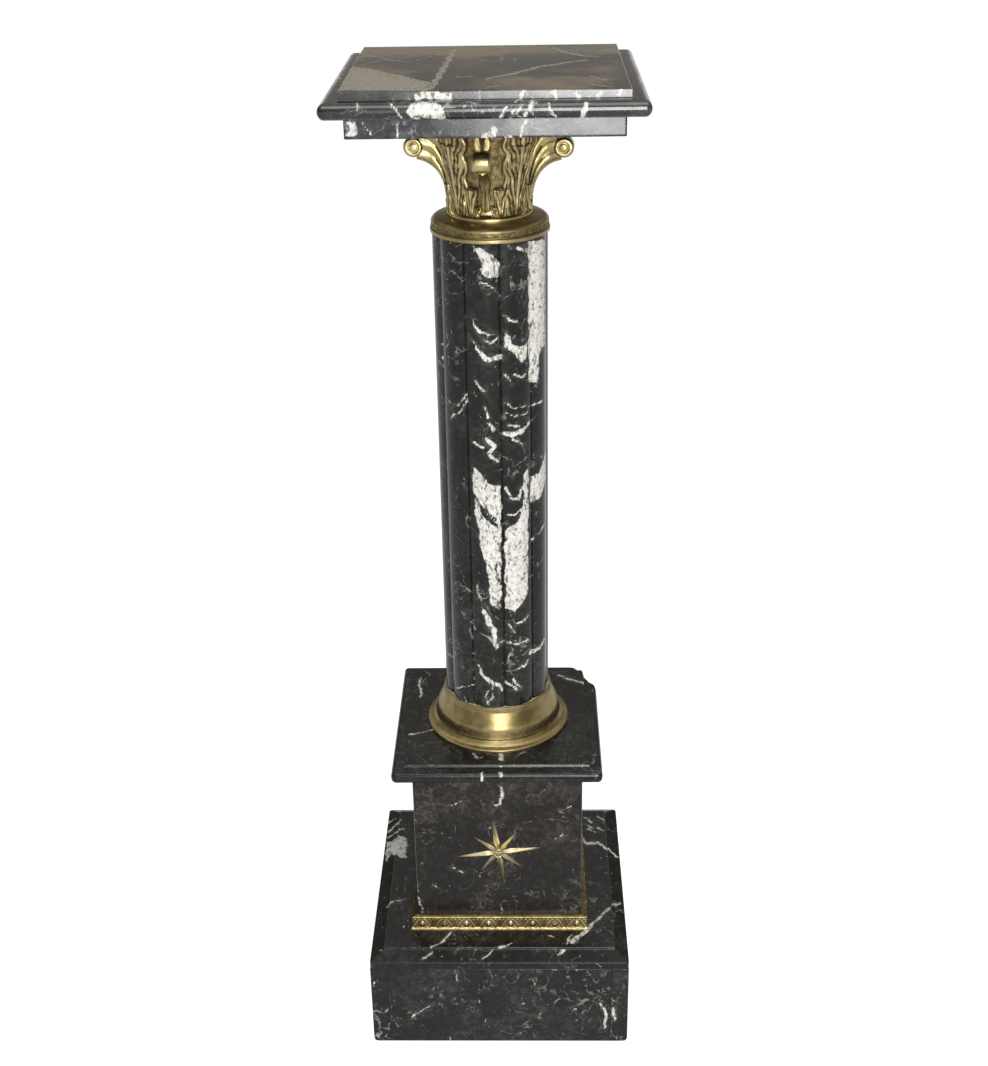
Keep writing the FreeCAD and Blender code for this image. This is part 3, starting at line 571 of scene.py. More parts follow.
TOP_VEINS = [((-36, 110, 2.4), (-42, -8, 3.1), (-48, -116, 3.1)),
    ((-129, 7, 1.1), (-110, 38, 1.1), (-102, 51, 1.1), (-97, 45, 1.1), (-77, 28, 1.1), (-56, 70, 1.1),
     (-42, 87, 1.1)), ((-129, 85, 0.8), (-108, 58, 0.8), (-102, 47, 0.8)),
    ((-28, -60, 1.6), (-13, -58, 1.6)),
    ((0, -73, 2.1), (24, -46, 3.1), (50, -9, 3.1), (72, 11, 2.6), (97, 29, 2.1)),
    ((64, 109, 1.6), (76, 84, 2.6), (93, 55, 2.1), (109, 50, 1.6)),
    ((97, -64, 1.4), (111, -86, 1.4), (124, -76, 1.4)), ((96, -106, 1.2), (115, -123, 1.2)),
    ((0, -123, 1.2), (14, -105, 1.2))]
RISER_WHITE = [[(-61, 1100), (-29, 1099), (-29, 1092), (-62, 1093)]]
RISER_VEINS = [((5, 1100, 0.9), (7, 1094, 0.9)), ((34, 1094, 1.9), (36, 1099, 1.9)),
    ((62, 1099, 2), (65, 1092, 2)), ((82, 1098, 1.4), (86, 1093, 1.4)),
    ((101, 1093, 1.4), (106, 1098, 1.4)), ((121, 1095, 1.6), (123, 1098, 1.6))]
LEDGE_VEINS = [((24, -155, 0.9), (34, -131, 0.9)), ((87, -150, 1.8), (94, -150, 1.8))]
NOSE_WHITE = [
    [(-69, 1087), (-64, 1093), (-45, 1092), (-35, 1090), (-33, 1080), (-40, 1078), (-63, 1078),
     (-69, 1084)]]
NOSE_VEINS = [((-88, 1097, 0.9), (-73, 1078, 0.9)), ((-114, 1092, 0.8), (-114, 1085, 0.8)),
    ((14, 1079, 1.4), (17, 1086, 1.4), (20, 1090, 0.9)), ((23, 1079, 1.1), (25, 1086, 1.1)),
    ((35, 1079, 1.4), (39, 1085, 1.6), (44, 1092, 1.1)), ((42, 1086, 0.9), (44, 1079, 0.9)),
    ((58, 1091, 0.9), (60, 1084, 1.4), (64, 1078, 1.4)), ((88, 1078, 2), (90, 1084, 2.5), (90, 1090, 1.8))]
ABACUS_WHITE = [[(-127, 1074), (-116, 1073), (-117, 1060), (-128, 1060)]]
ABACUS_VEINS = [((-110, 1071, 0.9), (-104, 1061, 0.9)), ((-78, 1071, 0.9), (-79, 1058, 0.9)),
    ((33, 1057, 0.9), (34, 1065, 1.4), (38, 1072, 1.4)), ((-2, 1058, 2.4), (2, 1059, 2.4)),
    ((7, 1058, 2.4), (9, 1065, 2.4)), ((19, 1058, 1.9), (24, 1059, 1.9))]
CAP_VEINS = [((-97, 88, 1.1), (-96, 66, 1.8), (-93, 41, 1.4)),
    ((-115, -46, 0.8), (-98, -40, 1.4), (-75, -32, 0.8)), ((73, 90, 1.8), (104, 70, 2.1)),
    ((-26, -82, 1.4), (-21, -91, 1.6)), ((3, -80, 2.5), (6, -94, 2.6))]
CAP_LEDGE_VEINS = [((-20, -90, 1.4), (-18, -98, 1.4)), ((6, -92, 2.1), (4, -103, 2.1))]
CAP_NOSE_VEINS = [((3, 363, 2.2), (4, 354, 2.2)), ((-16, 363, 1.6), (-16, 348, 1.6))]
DIE_VEINS = [((0, 329, 1.4), (6, 317, 2.5), (4, 302, 1.9), (-4, 299, 1.4)),
    ((-59, 299, 1.1), (-42, 306, 1.6)), ((-85, 264, 1.6), (-83, 263, 1.6)),
    ((-77, 263, 1.1), (-75, 262, 1.1)), ((-57, 212, 1.4), (-51, 211, 2)),
    ((-48, 209, 1.6), (-43, 206, 1.6)), ((-97, 195, 0.8), (-95, 172, 1.2), (-93, 160, 2), (-91, 147, 1.4)),
    ((-91, 217, 0.9), (-88, 222, 1.2)), ((16, 250, 1.2), (17, 250, 1.2)),
    ((-18, 272, 1.1), (-7, 267, 1.1)), ((65, 252, 1.1), (74, 259, 1.1)), ((48, 314, 1.1), (55, 321, 1.1)),
    ((71, 291, 1.1), (83, 299, 1.1)), ((-75, 188, 1.1), (-69, 180, 1.1))]
FIELD_WHITE = [
    [(-149, 80), (-141, 76), (-132, 81), (-122, 78), (-119, 34), (-129, 34), (-132, 44), (-141, 47),
     (-146, 34)]]
FIELD_VEINS = [((-148, 101, 2.5), (-133, 114, 2.5)), ((-146, 88, 1.9), (-127, 95, 1.9)),
    ((-151, 119, 1.6), (-141, 126, 1.6)), ((104, 75, 1.4), (108, 64, 2.5), (123, 64, 2.8), (135, 50, 2)),
    ((108, 118, 1.9), (117, 109, 1.9)), ((124, 122, 1.4), (135, 109, 1.4)),
    ((124, 96, 1.6), (130, 90, 1.6)), ((111, 94, 1.4), (119, 88, 1.4)), ((134, 85, 1.6), (141, 70, 1.6)),
    ((108, 105, 1.2), (117, 96, 1.2)), ((-138, -59, 0.9), (-129, -51, 1.4), (-116, -46, 0.9)),
    ((-56, -107, 0.9), (-68, -126, 1.6), (-78, -132, 1.1)),
    ((17, -124, 0.8), (7, -132, 1.4), (-2, -133, 0.9)),
    ((85, -126, 3), (103, -102, 2.8), (120, -78, 2), (133, -63, 1.4)), ((85, -112, 1.1), (78, -128, 1.2))]
RIM_VEINS = [((-78, -137, 1.1), (-90, -146, 0.9)), ((-3, -131, 1.1), (-20, -146, 0.8)),
    ((84, -120, 2.6), (73, -136, 2.5)), ((135, -54, 2), (145, -44, 1.4)),
    ((75, -127, 1.2), (68, -140, 0.9)), ((136, 58, 2), (145, 45, 2))]
BASE_VEINS = [((-110, 29, 0.9), (-99, 42, 1.6), (-89, 49, 1.1), (-80, 55, 0.9)),
    ((-53, 108, 1.6), (-50, 98, 1.4), (-47, 88, 0.9)), ((-35, 55, 1.1), (-30, 49, 1.1), (-33, 42, 1.1)),
    ((39, 92, 1.4), (41, 84, 1.4)), ((44, 77, 1.4), (46, 71, 1.4)), ((40, 60, 1.2), (42, 54, 1.2)),
    ((47, 45, 1.4), (45, 37, 1.4)), ((117, 57, 1.9), (126, 39, 2.4), (122, 20, 1.9)),
    ((131, 51, 1.6), (136, 33, 1.6))]


# The top slab's margin and rise, then depths just behind the front faces that carry a figure.
TOP_MARGIN = 17.5
TOP_RISE = 7.5
ABACUS_FRONT = -127.0
CAP_FRONT = -112.0
BASE_FRONT = -149.0
DIE_FRONT = -95.0


def top_figure(grid):
    """Veins of the top slab: on its table, riser, ledge and nose."""
    x, y, z = np.moveaxis(grid, -1, 0)
    table = z.max()
    ledge = table - TOP_RISE
    riser = TOP_MARGIN - x.max()
    on_riser = (y < riser + 1.5) & (y > riser - 1.0) & (z > ledge - 0.5)
    on_ledge = (z > ledge - 1.5) & (z < ledge + 0.5) & (y < riser)
    on_nose = (y < riser - 9.0) & (z < ledge)
    return np.maximum.reduce([
        figure(x, y, TOP_VEINS, TOP_BEIGE, where=z > table - 1.0),
        figure(x, z, RISER_VEINS, RISER_WHITE, where=on_riser),
        figure(x, y, LEDGE_VEINS, where=on_ledge),
        figure(x, z, NOSE_VEINS, NOSE_WHITE, where=on_nose),
    ])


def abacus_figure(grid):
    """Veins on the front of the abacus slab."""
    x, y, z = np.moveaxis(grid, -1, 0)
    return figure(x, z, ABACUS_VEINS, ABACUS_WHITE, where=y < ABACUS_FRONT)


def cap_figure(grid):
    """Veins of the plinth cap: on its field, ledge and nose."""
    x, y, z = np.moveaxis(grid, -1, 0)
    on_field = z > z.max() - 1.0
    on_ledge = ~on_field & (z > z.max() - 4.5) & (y < -100)
    return np.maximum.reduce([
        figure(x, y, CAP_VEINS, where=on_field),
        figure(x, y, CAP_LEDGE_VEINS, where=on_ledge),
        figure(x, z, CAP_NOSE_VEINS, where=y < CAP_FRONT),
    ])


def base_slab_figure(grid):
    """Veins of the base's top slab: on its field and its sloped rim."""
    x, y, z = np.moveaxis(grid, -1, 0)
    on_field = z > z.max() - 2.0
    on_rim = ~on_field & (z > z.max() - 11.0)
    return np.maximum(figure(x, y, FIELD_VEINS, FIELD_WHITE, where=on_field | (x < -130)),
                      figure(x, y, RIM_VEINS, where=on_rim))


# ---- slabs ----
GRID_STEP = 2.1
HIDDEN_STEP = 12.0
ARRIS = 1.0


def moulded_slab(node_name, points, material, corner_radius, veins, shape=None):
    """Square slab: an outline of (reach, height above its foot) carried round the square.

    The shape function, where there is one, moves the grid's places; the veins function marks them."""
    low, high = box_mm(node_name)
    outline = rounded(points)
    outline = np.concatenate([divided(outline[:2], HIDDEN_STEP)[:-1], divided(outline[1:], GRID_STEP)])
    outline[:, 1] += low[2]
    side_steps = int(round((high[0] - low[0]) / GRID_STEP))
    grid = square_rings(outline, side_steps, corner_radius)
    if shape:
        grid = shape(grid)
    make_piece(node_name, as_surface(grid), material, "black_marble", {"vein": veins(grid)})


def base_top_slab(material):
    """Slab with an upright edge, a sloped rim and a raised field."""
    edge, thickness = edge_and_height("base_top_slab")
    margin, upright, rise = 16.5, 9.0, 6.5
    field = edge - margin
    step = thickness - upright - rise
    points = [(0, 0), (edge, 0, 0.4), (edge, upright, ARRIS), (field + step / 3, upright + rise, 0.3),
              (field, thickness, 0.7), (0, thickness)]
    moulded_slab("base_top_slab", points, material, 4.0, base_slab_figure)


def plinth_cap(material):
    """Slab with a rounded edge and a raised field, one back corner broken off."""
    edge, thickness = edge_and_height("plinth_cap")
    margin, nose = 15.0, 14.0
    step = thickness - nose
    points = [(0, 0), (edge, 0, 9.0), (edge, nose, 4.5), (edge - margin + step / 3, nose, 0.4),
              (edge - margin, thickness, 0.8), (0, thickness)]
    moulded_slab("plinth_cap", points, material, 5.0, cap_figure, lambda grid: broken_corner(grid, edge))


CHIP = np.array([(34.5, 0.0), (25.0, 5.0), (16.5, 17.0), (13.5, 29.0), (9.0, 38.5), (2.0, 45.0), (0.0, 52.0)])


def broken_corner(grid, edge):
    """Places beyond the break are drawn straight back to it.

    The break runs through the chip's points (from the side edge, from the back edge), measured along and
    out from the line between its ends, with a small unevenness that changes with height."""
    outline = np.array([edge, edge]) - CHIP
    start, end = outline[0], outline[-1]
    length = np.hypot(*(end - start))
    along_way = (end - start) / length
    out_way = np.array([-along_way[1], along_way[0]])
    shares = (outline - start) @ along_way / length
    outs = (outline - start) @ out_way
    plan = grid[..., :2] - start
    share = plan @ along_way / length
    height = grid[..., 2]
    ragged = 0.5 * np.sin(9 * share + 0.5 * height) + 0.3 * np.sin(31 * share - 0.9 * height)
    limit = np.interp(share, shares, outs) + ragged * np.sin(np.pi * np.clip(share, 0, 1))
    back = np.maximum(plan @ out_way - limit, 0) * ((share > -0.6) & (share < 1.6))
    broken = grid.copy()
    broken[..., :2] -= back[..., None] * out_way
    return broken


def abacus_slab(material):
    """Plain square slab under the top."""
    edge, thickness = edge_and_height("abacus_slab")
    points = [(0, 0), (edge, 0, 0.8), (edge, thickness, 0.8), (0, thickness)]
    moulded_slab("abacus_slab", points, material, 1.5, abacus_figure)


def top_slab(material):
    """Slab with a rounded edge and a raised table."""
    edge, thickness = edge_and_height("top_slab")
    nose, nose_radius, corner = 15.5, 7.6, 5.0
    table = edge - TOP_MARGIN
    points = [(0, 0), (edge, 0, nose_radius), (edge, nose, nose_radius), (table, nose, 0.6),
              (table, thickness, 0.9), (0, thickness)]
    moulded_slab("top_slab", points, material, corner, top_figure)


def panel(node_name, material, radius=0.6, foot_radius=0.0):
    """Flat wall slab with its CAD node's size; a foot radius rounds its outer edge at the floor."""
    low, high = box_mm(node_name)
    places, faces = rounded_block(low, high, radius, GRID_STEP)
    if foot_radius:
        outer = np.sign(low[0] + high[0])
        reach = np.abs(places[:, 0]) - (max(abs(low[0]), abs(high[0])) - foot_radius)
        depth = foot_radius - places[:, 2]
        beyond = np.hypot(np.maximum(reach, 0), np.maximum(depth, 0))
        pull = np.where((reach > 0) & (depth > 0), np.minimum(1, foot_radius / np.maximum(beyond, 1e-6)), 1)
        places[:, 0] = np.where(pull < 1, outer * (np.abs(places[:, 0]) - reach * (1 - pull)), places[:, 0])
        places[:, 2] = np.where(pull < 1, foot_radius - depth * pull, places[:, 2])
    field = figure(places[:, 0], places[:, 2], BASE_VEINS, where=places[:, 1] < BASE_FRONT)
    make_piece(node_name, (places, faces), material, "black_marble", {"vein": field})


def die_wide_panel(side, material):
    """Full-width wall of the die, at the front or the back, with bevelled outer corners."""
    node_name = "die_" + side + "_panel"
    low, high = box_mm(node_name)
    bevel = 1.2
    places, faces = rounded_block(low, high, 0.3, GRID_STEP)
    out, face = (-1, low[1]) if side == "front" else (1, high[1])
    over = np.abs(places[:, 0]) + out * (places[:, 1] - face) - (high[0] - bevel)
    cut = np.maximum(over, 0) / 2
    places[:, 0] -= np.sign(places[:, 0]) * cut
    places[:, 1] -= out * cut
    field = figure(places[:, 0], places[:, 2], DIE_VEINS, where=places[:, 1] < DIE_FRONT)
    make_piece(node_name, (places, faces), material, "black_marble", {"vein": field})


# ---- shaft ----
SHAFT_ROW_STEP = 2.3
SHAFT_REEDS = 10
SHAFT_RADIUS = 59.3
SHAFT_VALLEY_DEPTH = 3.0
GROOVE_HALF_WIDTH = 1.2
GROOVE_DEPTH = 1.4
FIRST_GROOVE = -80.5


def reeded_radius(offset):
    """Distance from the axis to the reeds' surface, at an angle (radians) from a reed's crest.

    A reed is part of a circle about a centre nearer than the axis; within the groove's half width the
    distance falls as a parabola to the groove's floor."""
    half_step = np.pi / SHAFT_REEDS
    meeting = SHAFT_RADIUS - SHAFT_VALLEY_DEPTH
    half_chord = meeting * np.sin(half_step)
    rise = SHAFT_RADIUS - meeting * np.cos(half_step)
    reed_radius = (half_chord ** 2 + rise ** 2) / (2 * rise)
    centre = SHAFT_RADIUS - reed_radius
    reed = centre * np.cos(offset) + np.sqrt(reed_radius ** 2 - (centre * np.sin(offset)) ** 2)
    from_groove = (half_step - np.abs(offset)) * meeting
    floor = meeting - GROOVE_DEPTH
    groove = floor + (reed - floor) * (from_groove / GROOVE_HALF_WIDTH) ** 2
    return np.where(from_groove < GROOVE_HALF_WIDTH, groove, reed)


def reed_offsets():
    """Angles across one reed from its crest, in radians: close together in the grooves."""
    half_step = np.pi / SHAFT_REEDS
    groove = GROOVE_HALF_WIDTH * 1.1 / SHAFT_RADIUS
    in_groove = np.linspace(0, groove, 6)[:-1]
    on_reed = np.linspace(-half_step + groove, half_step - groove, 17)
    return np.concatenate([-half_step + in_groove, on_reed, (half_step - in_groove)[1:][::-1]])


def reeds_round():
    """Angles, and distances from the axis, of the places round all the reeds."""
    offsets = reed_offsets()
    crests = np.radians(FIRST_GROOVE) + np.pi / SHAFT_REEDS * (2 * np.arange(SHAFT_REEDS) + 1)
    angle = (crests[:, None] + offsets[None, :]).reshape(-1)
    return angle, np.tile(reeded_radius(offsets), SHAFT_REEDS)


def column_shaft(material):
    """Round shaft with convex reeds, carried straight up and closed at both ends.

    Its unseen back has the front's figure again, mirrored and upside down."""
    low, high = box_mm("column_shaft")
    angle, radius = reeds_round()
    rows = int((high[2] - low[2]) / SHAFT_ROW_STEP)
    height = np.linspace(low[2], high[2], rows)
    share = np.concatenate([[0.0, 0.5], np.ones(rows), [0.5, 0.0]])[:, None]
    level = np.concatenate([[low[2]] * 2, height, [high[2]] * 2])[:, None]
    grid = round_axis(share * radius, angle, level)
    turn = (np.degrees(angle) + 90 + 180) % 360 - 180
    across = np.broadcast_to(np.radians(turn) * SHAFT_RADIUS, grid.shape[:2])
    behind = np.where(across > 0, np.pi, -np.pi) * SHAFT_RADIUS - across
    upside_down = low[2] + high[2] - grid[..., 2]
    field = np.maximum(figure(across, grid[..., 2], SHAFT_VEINS, SHAFT_WHITE, SHAFT_CRACKS),
                       figure(behind, upside_down, SHAFT_VEINS, SHAFT_WHITE, SHAFT_CRACKS))
    make_piece("column_shaft", as_surface(grid), material, "black_marble", {"vein": field}, crease=50.0)


def shaft_foot_filler(material):
    """Thin filler between the reeds and the lip of the base ring."""
    low, high = box_mm("shaft_foot_filler")
    angle, reeds = reeds_round()
    outer = np.full_like(reeds, high[0])
    radius = np.stack([reeds, outer, outer, reeds, reeds])
    level = np.array([low[2], low[2], high[2] - 0.3, high[2], low[2]])[:, None]
    surface = as_surface(round_axis(radius, angle, level))
    make_piece("shaft_foot_filler", surface, material, "plaster", crease=30.0)


# ---- rings and bell ----
def turned_piece(node_name, points, material, dirt_and_shade):
    """Closed outline of (radius, height above its foot) carried round the axis, with its dirt and painted
    shade.
    """
    outline = divided(rounded(points + [points[0][:2]], 7), 4.0)
    outline[:, 1] += box_mm(node_name)[0][2]
    grid = turned(outline, 200)
    make_piece(node_name, as_surface(grid), material, "gilt_bronze", {"shade_and_dirt_mark": dirt_and_shade(grid)}, crease=42.0)


def base_ring(material):
    """Cast ring: flange, cove, bead and a band that slopes in to hug the shaft; open below."""
    flange, height = edge_and_height("base_ring")
    foot = box_mm("base_ring")[0][2]
    bore = SHAFT_RADIUS + 0.3
    bead, band, shoulder, neck, lip = SHAFT_RADIUS + np.array([12.8, 11.5, 10.3, 2.3, 2.0])
    bead_foot, bead_top, shoulder_height, neck_height, wall = 10.4, 13.4, 24.0, 40.5, 3.4
    points = [
        (flange - 2 * wall, 0), (flange, 0, 0.5), (flange, 4.0, 1.5), (bead + wall, 5.0, 2 * wall),
        (bead - 1, bead_foot, 0.3), (bead, bead_foot + 1, 1.0), (bead, bead_top, 1.0), (band, bead_top, 0.2),
        (shoulder, shoulder_height, 14.0), (neck, neck_height, 3.0), (lip, height, 0.7), (bore, height),
        (bore, 32.0), (shoulder - wall, shoulder_height - wall), (band - wall, bead_foot),
        (flange - 2 * wall, 2.0),
    ]

    def painted_dark_reflection(grid):
        """Painted dark reflection on the upright foot of the band and towards the ring's left and right
        sides, mostly clear again on the flange.
        """
        level = grid[..., 2] - foot
        dull = 0.56 * (1 - smooth_share(level, bead_top + 4, shoulder_height + 4))
        # Painted dark reflection, stronger the further left or right of the middle as seen from the front
        sides = 0.42 * np.abs(grid[..., 0]) / flange
        return (dull + sides) * smooth_share(level, 11.0, 14.0) + 0.2 * sides

    turned_piece("base_ring", points, material, painted_dark_reflection)


def collar_ring(material):
    """Collar: a skirt with a bead laps over the reeds, a nose and a hollowed top above."""
    bead, height = edge_and_height("collar_ring")
    foot = box_mm("collar_ring")[0][2]
    skirt = 4.0
    nose = SHAFT_RADIUS + 0.7
    top_radius, bore = 46.5, 30.0
    hollow_foot = height - 4.5
    points = [
        (bore, skirt), (bead - 1.5, skirt), (bead - 1.5, 0), (bead, 0, 0.7), (bead, skirt - 0.2, 1.4),
        (nose - 1.4, skirt + 0.8, 0.3), (nose, skirt + 2, 1.0), (nose, hollow_foot - 1, 3.5),
        (nose - 3.4, hollow_foot + 2.6, 7.0), (top_radius, height, 0.5), (bore, height),
    ]

    def painted_dark_nose(grid):
        """Painted dark reflection on the nose, between the bead and the hollowed top."""
        level = grid[..., 2] - foot
        clear = smooth_share(level, height - 7, height - 4)
        return 0.74 * smooth_share(level, skirt + 0.3, skirt + 1.5) * (1 - clear)

    turned_piece("collar_ring", points, material, painted_dark_nose)


CAPITAL_TURN = -4.0
BELL_FOOT = 43.5
BELL_NECK = 38.5
BELL_NECK_HEIGHT = 20.0
BELL_LIP = 54.0
BELL_LIP_HEIGHT = 6.0
CAPITAL_HEIGHT = 100.0


def bell_radius(height):
    """Outside of the bell: straight up the neck, then widening evenly to the lip."""
    flare = CAPITAL_HEIGHT - BELL_LIP_HEIGHT - BELL_NECK_HEIGHT
    share = np.clip((height - BELL_NECK_HEIGHT) / flare, 0, 1.1)
    return BELL_NECK + share * (BELL_LIP - BELL_LIP_HEIGHT / 2 - BELL_NECK)


def capital_bell(material):
    """Hollow bell of the capital, with a ring at its foot and a lip at its top."""
    foot = box_mm("capital_bell")[0][2]
    lip_foot = CAPITAL_HEIGHT - BELL_LIP_HEIGHT
    lip_start = BELL_LIP - BELL_LIP_HEIGHT / 2
    wall = 5.0
    points = [
        (BELL_LIP - 1.5 * wall, CAPITAL_HEIGHT), (lip_start - wall, lip_foot),
        (BELL_NECK - wall, BELL_NECK_HEIGHT, 60.0), (BELL_NECK - wall, 0), (BELL_FOOT, 0, 0.3),
        (BELL_FOOT, 3.0, 1.5), (BELL_NECK, 6.0, 3.0), (BELL_NECK, BELL_NECK_HEIGHT, CAPITAL_HEIGHT),
        (lip_start, lip_foot, 6.0), (BELL_LIP, CAPITAL_HEIGHT - 3.0, 1.8), (BELL_LIP, CAPITAL_HEIGHT),
    ]

    def painted_shade_between_leaves(grid):
        """Painted shade between the leaves, above the smooth foot."""
        return 0.74 * smooth_share(grid[..., 2] - foot, 5.0, 12.0)

    turned_piece("capital_bell", points, material, painted_shade_between_leaves)


# ---- volutes ----
VOLUTE_REACH = 85.0
ROLL_RADIUS = 10.0
ROLL_HEIGHT = 66.0
ROLL_WIDTH = 17.5
STEM_WIDTH = 13.0
RIBS = 4


def curve_through(points, count):
    """Smooth curve through given points: at each stretch a cubic that leaves and arrives evenly."""
    points = np.array(points, float)
    tangents = np.gradient(points, axis=0)
    place = np.linspace(0, len(points) - 1, count)
    index = np.minimum(place.astype(int), len(points) - 2)
    share = (place - index)[:, None]
    start, end = points[index], points[index + 1]
    leave, arrive = tangents[index], tangents[index + 1]
    return ((2 * share ** 3 - 3 * share ** 2 + 1) * start + (share ** 3 - 2 * share ** 2 + share) * leave
            + (3 * share ** 2 - 2 * share ** 3) * end + (share ** 3 - share ** 2) * arrive)


def volute_web():
    """Stem of a volute over +X: between an outer and an inner curve, ribbed on both flanks.

    Each row is a closed loop: up one flank from the outer curve to the inner one, across, down the other
    flank and back. The flanks swell by a rounded rib wave; the outer face is a small leaf with a midrib,
    whose width changes along the stem. Returns the grid and how deep each place lies."""
    rows = 56
    outer = curve_through([(40.0, 10.0), (41.5, 20.0), (44.0, 30.5), (48.5, 40.0), (55.0, 47.5), (63.0, 52.5),
                           (72.0, 55.3)], rows)
    inner = curve_through([(36.5, 12.0), (36.5, 30.0), (38.0, 50.0), (41.0, 70.0), (45.5, 86.0), (52.0, 95.0),
                           (63.0, 99.4)], rows)
    up = np.linspace(0, 1, rows)[:, None]
    flank = np.linspace(0, 1, 25)[None, :]
    wave = np.abs(np.sin(np.pi * RIBS * flank ** 0.9)) ** 0.5
    rib = wave * (1.0 + 1.2 * up) * smooth_share(up, 0.0, 0.12)
    waist = 1 - 0.38 * np.exp(-((up - 0.28) / 0.10) ** 2) + 0.12 * np.exp(-((up - 0.50) / 0.10) ** 2)
    waist = waist - 0.30 * np.exp(-((up - 0.82) / 0.10) ** 2) * (1 - flank) ** 2
    width = (STEM_WIDTH / 2 - 1.6) * (1 - 0.25 * (1 - up)) * waist + rib
    line = outer[:, None, :] + (inner - outer)[:, None, :] * flank[..., None]
    one_flank = np.stack([line[..., 0], width, line[..., 1]], axis=-1)
    other_flank = np.stack([line[..., 0], -width, line[..., 1]], axis=-1)[:, ::-1]
    face_share = np.linspace(-1, 1, 11)[None, 1:-1]
    outward = np.gradient(outer, axis=0)
    outward = np.stack([outward[:, 1], -outward[:, 0]], axis=-1)
    outward /= np.linalg.norm(outward, axis=1, keepdims=True)
    swell = 1.6 * np.exp(-(face_share / 0.22) ** 2) + 1.0 * (1 - face_share ** 2)
    face = outer[:, None, :] + outward[:, None, :] * swell[..., None]
    front = np.stack([face[..., 0], face_share * width[:, :1], face[..., 1]], axis=-1)
    grid = np.concatenate([one_flank, other_flank, front], axis=1)
    groove = 1 - wave + np.zeros_like(up)
    face_depth = np.abs(np.abs(face_share) - 0.5) * -1.2 + 0.7 + np.zeros_like(up)
    return with_ends(grid, np.concatenate([groove, groove[:, ::-1], face_depth], axis=1))


def capped(grid):
    """Closed loops with both ends drawn together to their middles."""
    first = np.broadcast_to(grid[:1].mean(axis=1, keepdims=True), grid[:1].shape)
    last = np.broadcast_to(grid[-1:].mean(axis=1, keepdims=True), grid[-1:].shape)
    return np.concatenate([first, grid, last])


def with_ends(grid, depth):
    """Closed loops with drawn-in ends, and how deep each of their places lies."""
    return capped(grid), np.concatenate([depth[:1], depth, depth[-1:]])


def volute_roll():
    """Rolled end over +X: a barrel on a level axis, its rims rounded by a quarter circle.

    Its ends are sunk in a groove round a domed eye. The groove winds inwards: its radius falls with the
    angle. Returns the grid and how deep its places lie."""
    rim, half = 3.0, ROLL_WIDTH / 2
    bend = np.linspace(0, np.pi / 2, 7)
    across = np.concatenate([[0.0], half - rim + rim * np.sin(bend),
                             half - np.array([0.2, 0.6, 0.7, 0.4, 0.0, -0.2, -0.3])])
    radius = np.concatenate([[ROLL_RADIUS], ROLL_RADIUS - rim + rim * np.cos(bend),
                             ROLL_RADIUS * np.array([0.64, 0.58, 0.51, 0.44, 0.36, 0.22, 0.08])])
    groove = np.concatenate([np.zeros(8), [0.3, 0.5, 0.6, 0.5, 0.3, 0.2, 0.2]])
    across = np.concatenate([-across[:0:-1], across])[:, None]
    radius = np.concatenate([radius[:0:-1], radius])[:, None]
    groove = np.concatenate([groove[:0:-1], groove])[:, None]
    angle = np.linspace(0, 2 * np.pi, 64, endpoint=False)[None, :]
    radius = radius * (1 - 0.16 * (radius < 0.75 * ROLL_RADIUS) * np.cos(angle / 2) ** 2)
    grid = np.stack([VOLUTE_REACH - ROLL_RADIUS + radius * np.cos(angle), across + 0 * angle,
                     ROLL_HEIGHT + radius * np.sin(angle)], axis=-1)
    return with_ends(grid, groove + 0 * angle)


def capital_piece(node_name, shells, material, crease):
    """Shells of (grid, depth) with their turns in degrees, set on the collar as one piece."""
    foot = box_mm("capital_bell")[0][2]
    surfaces, depths = [], []
    for (grid, depth), turn in shells:
        grid = turned_about(grid, turn + CAPITAL_TURN) + np.array([0, 0, foot])
        surfaces.append(as_surface(grid))
        depths.append(depth.reshape(-1))
    # How deep each place lies darkens it: dirt in the hollows and painted shade in the grooves
    marks = {"shade_and_dirt_mark": np.concatenate(depths)}
    make_piece(node_name, together(surfaces), material, "gilt_bronze", marks, crease)


def capital_volute(index, material):
    """One volute: ribbed stem and rolled end, turned to its side."""
    turn = 90 * index - 90
    shells = [(volute_web(), turn), (volute_roll(), turn)]
    capital_piece("capital_volute_" + SIDES[index], shells, material, 60.0)


# ---- acanthus leaves ----
LEAF_SHEET = 2.2


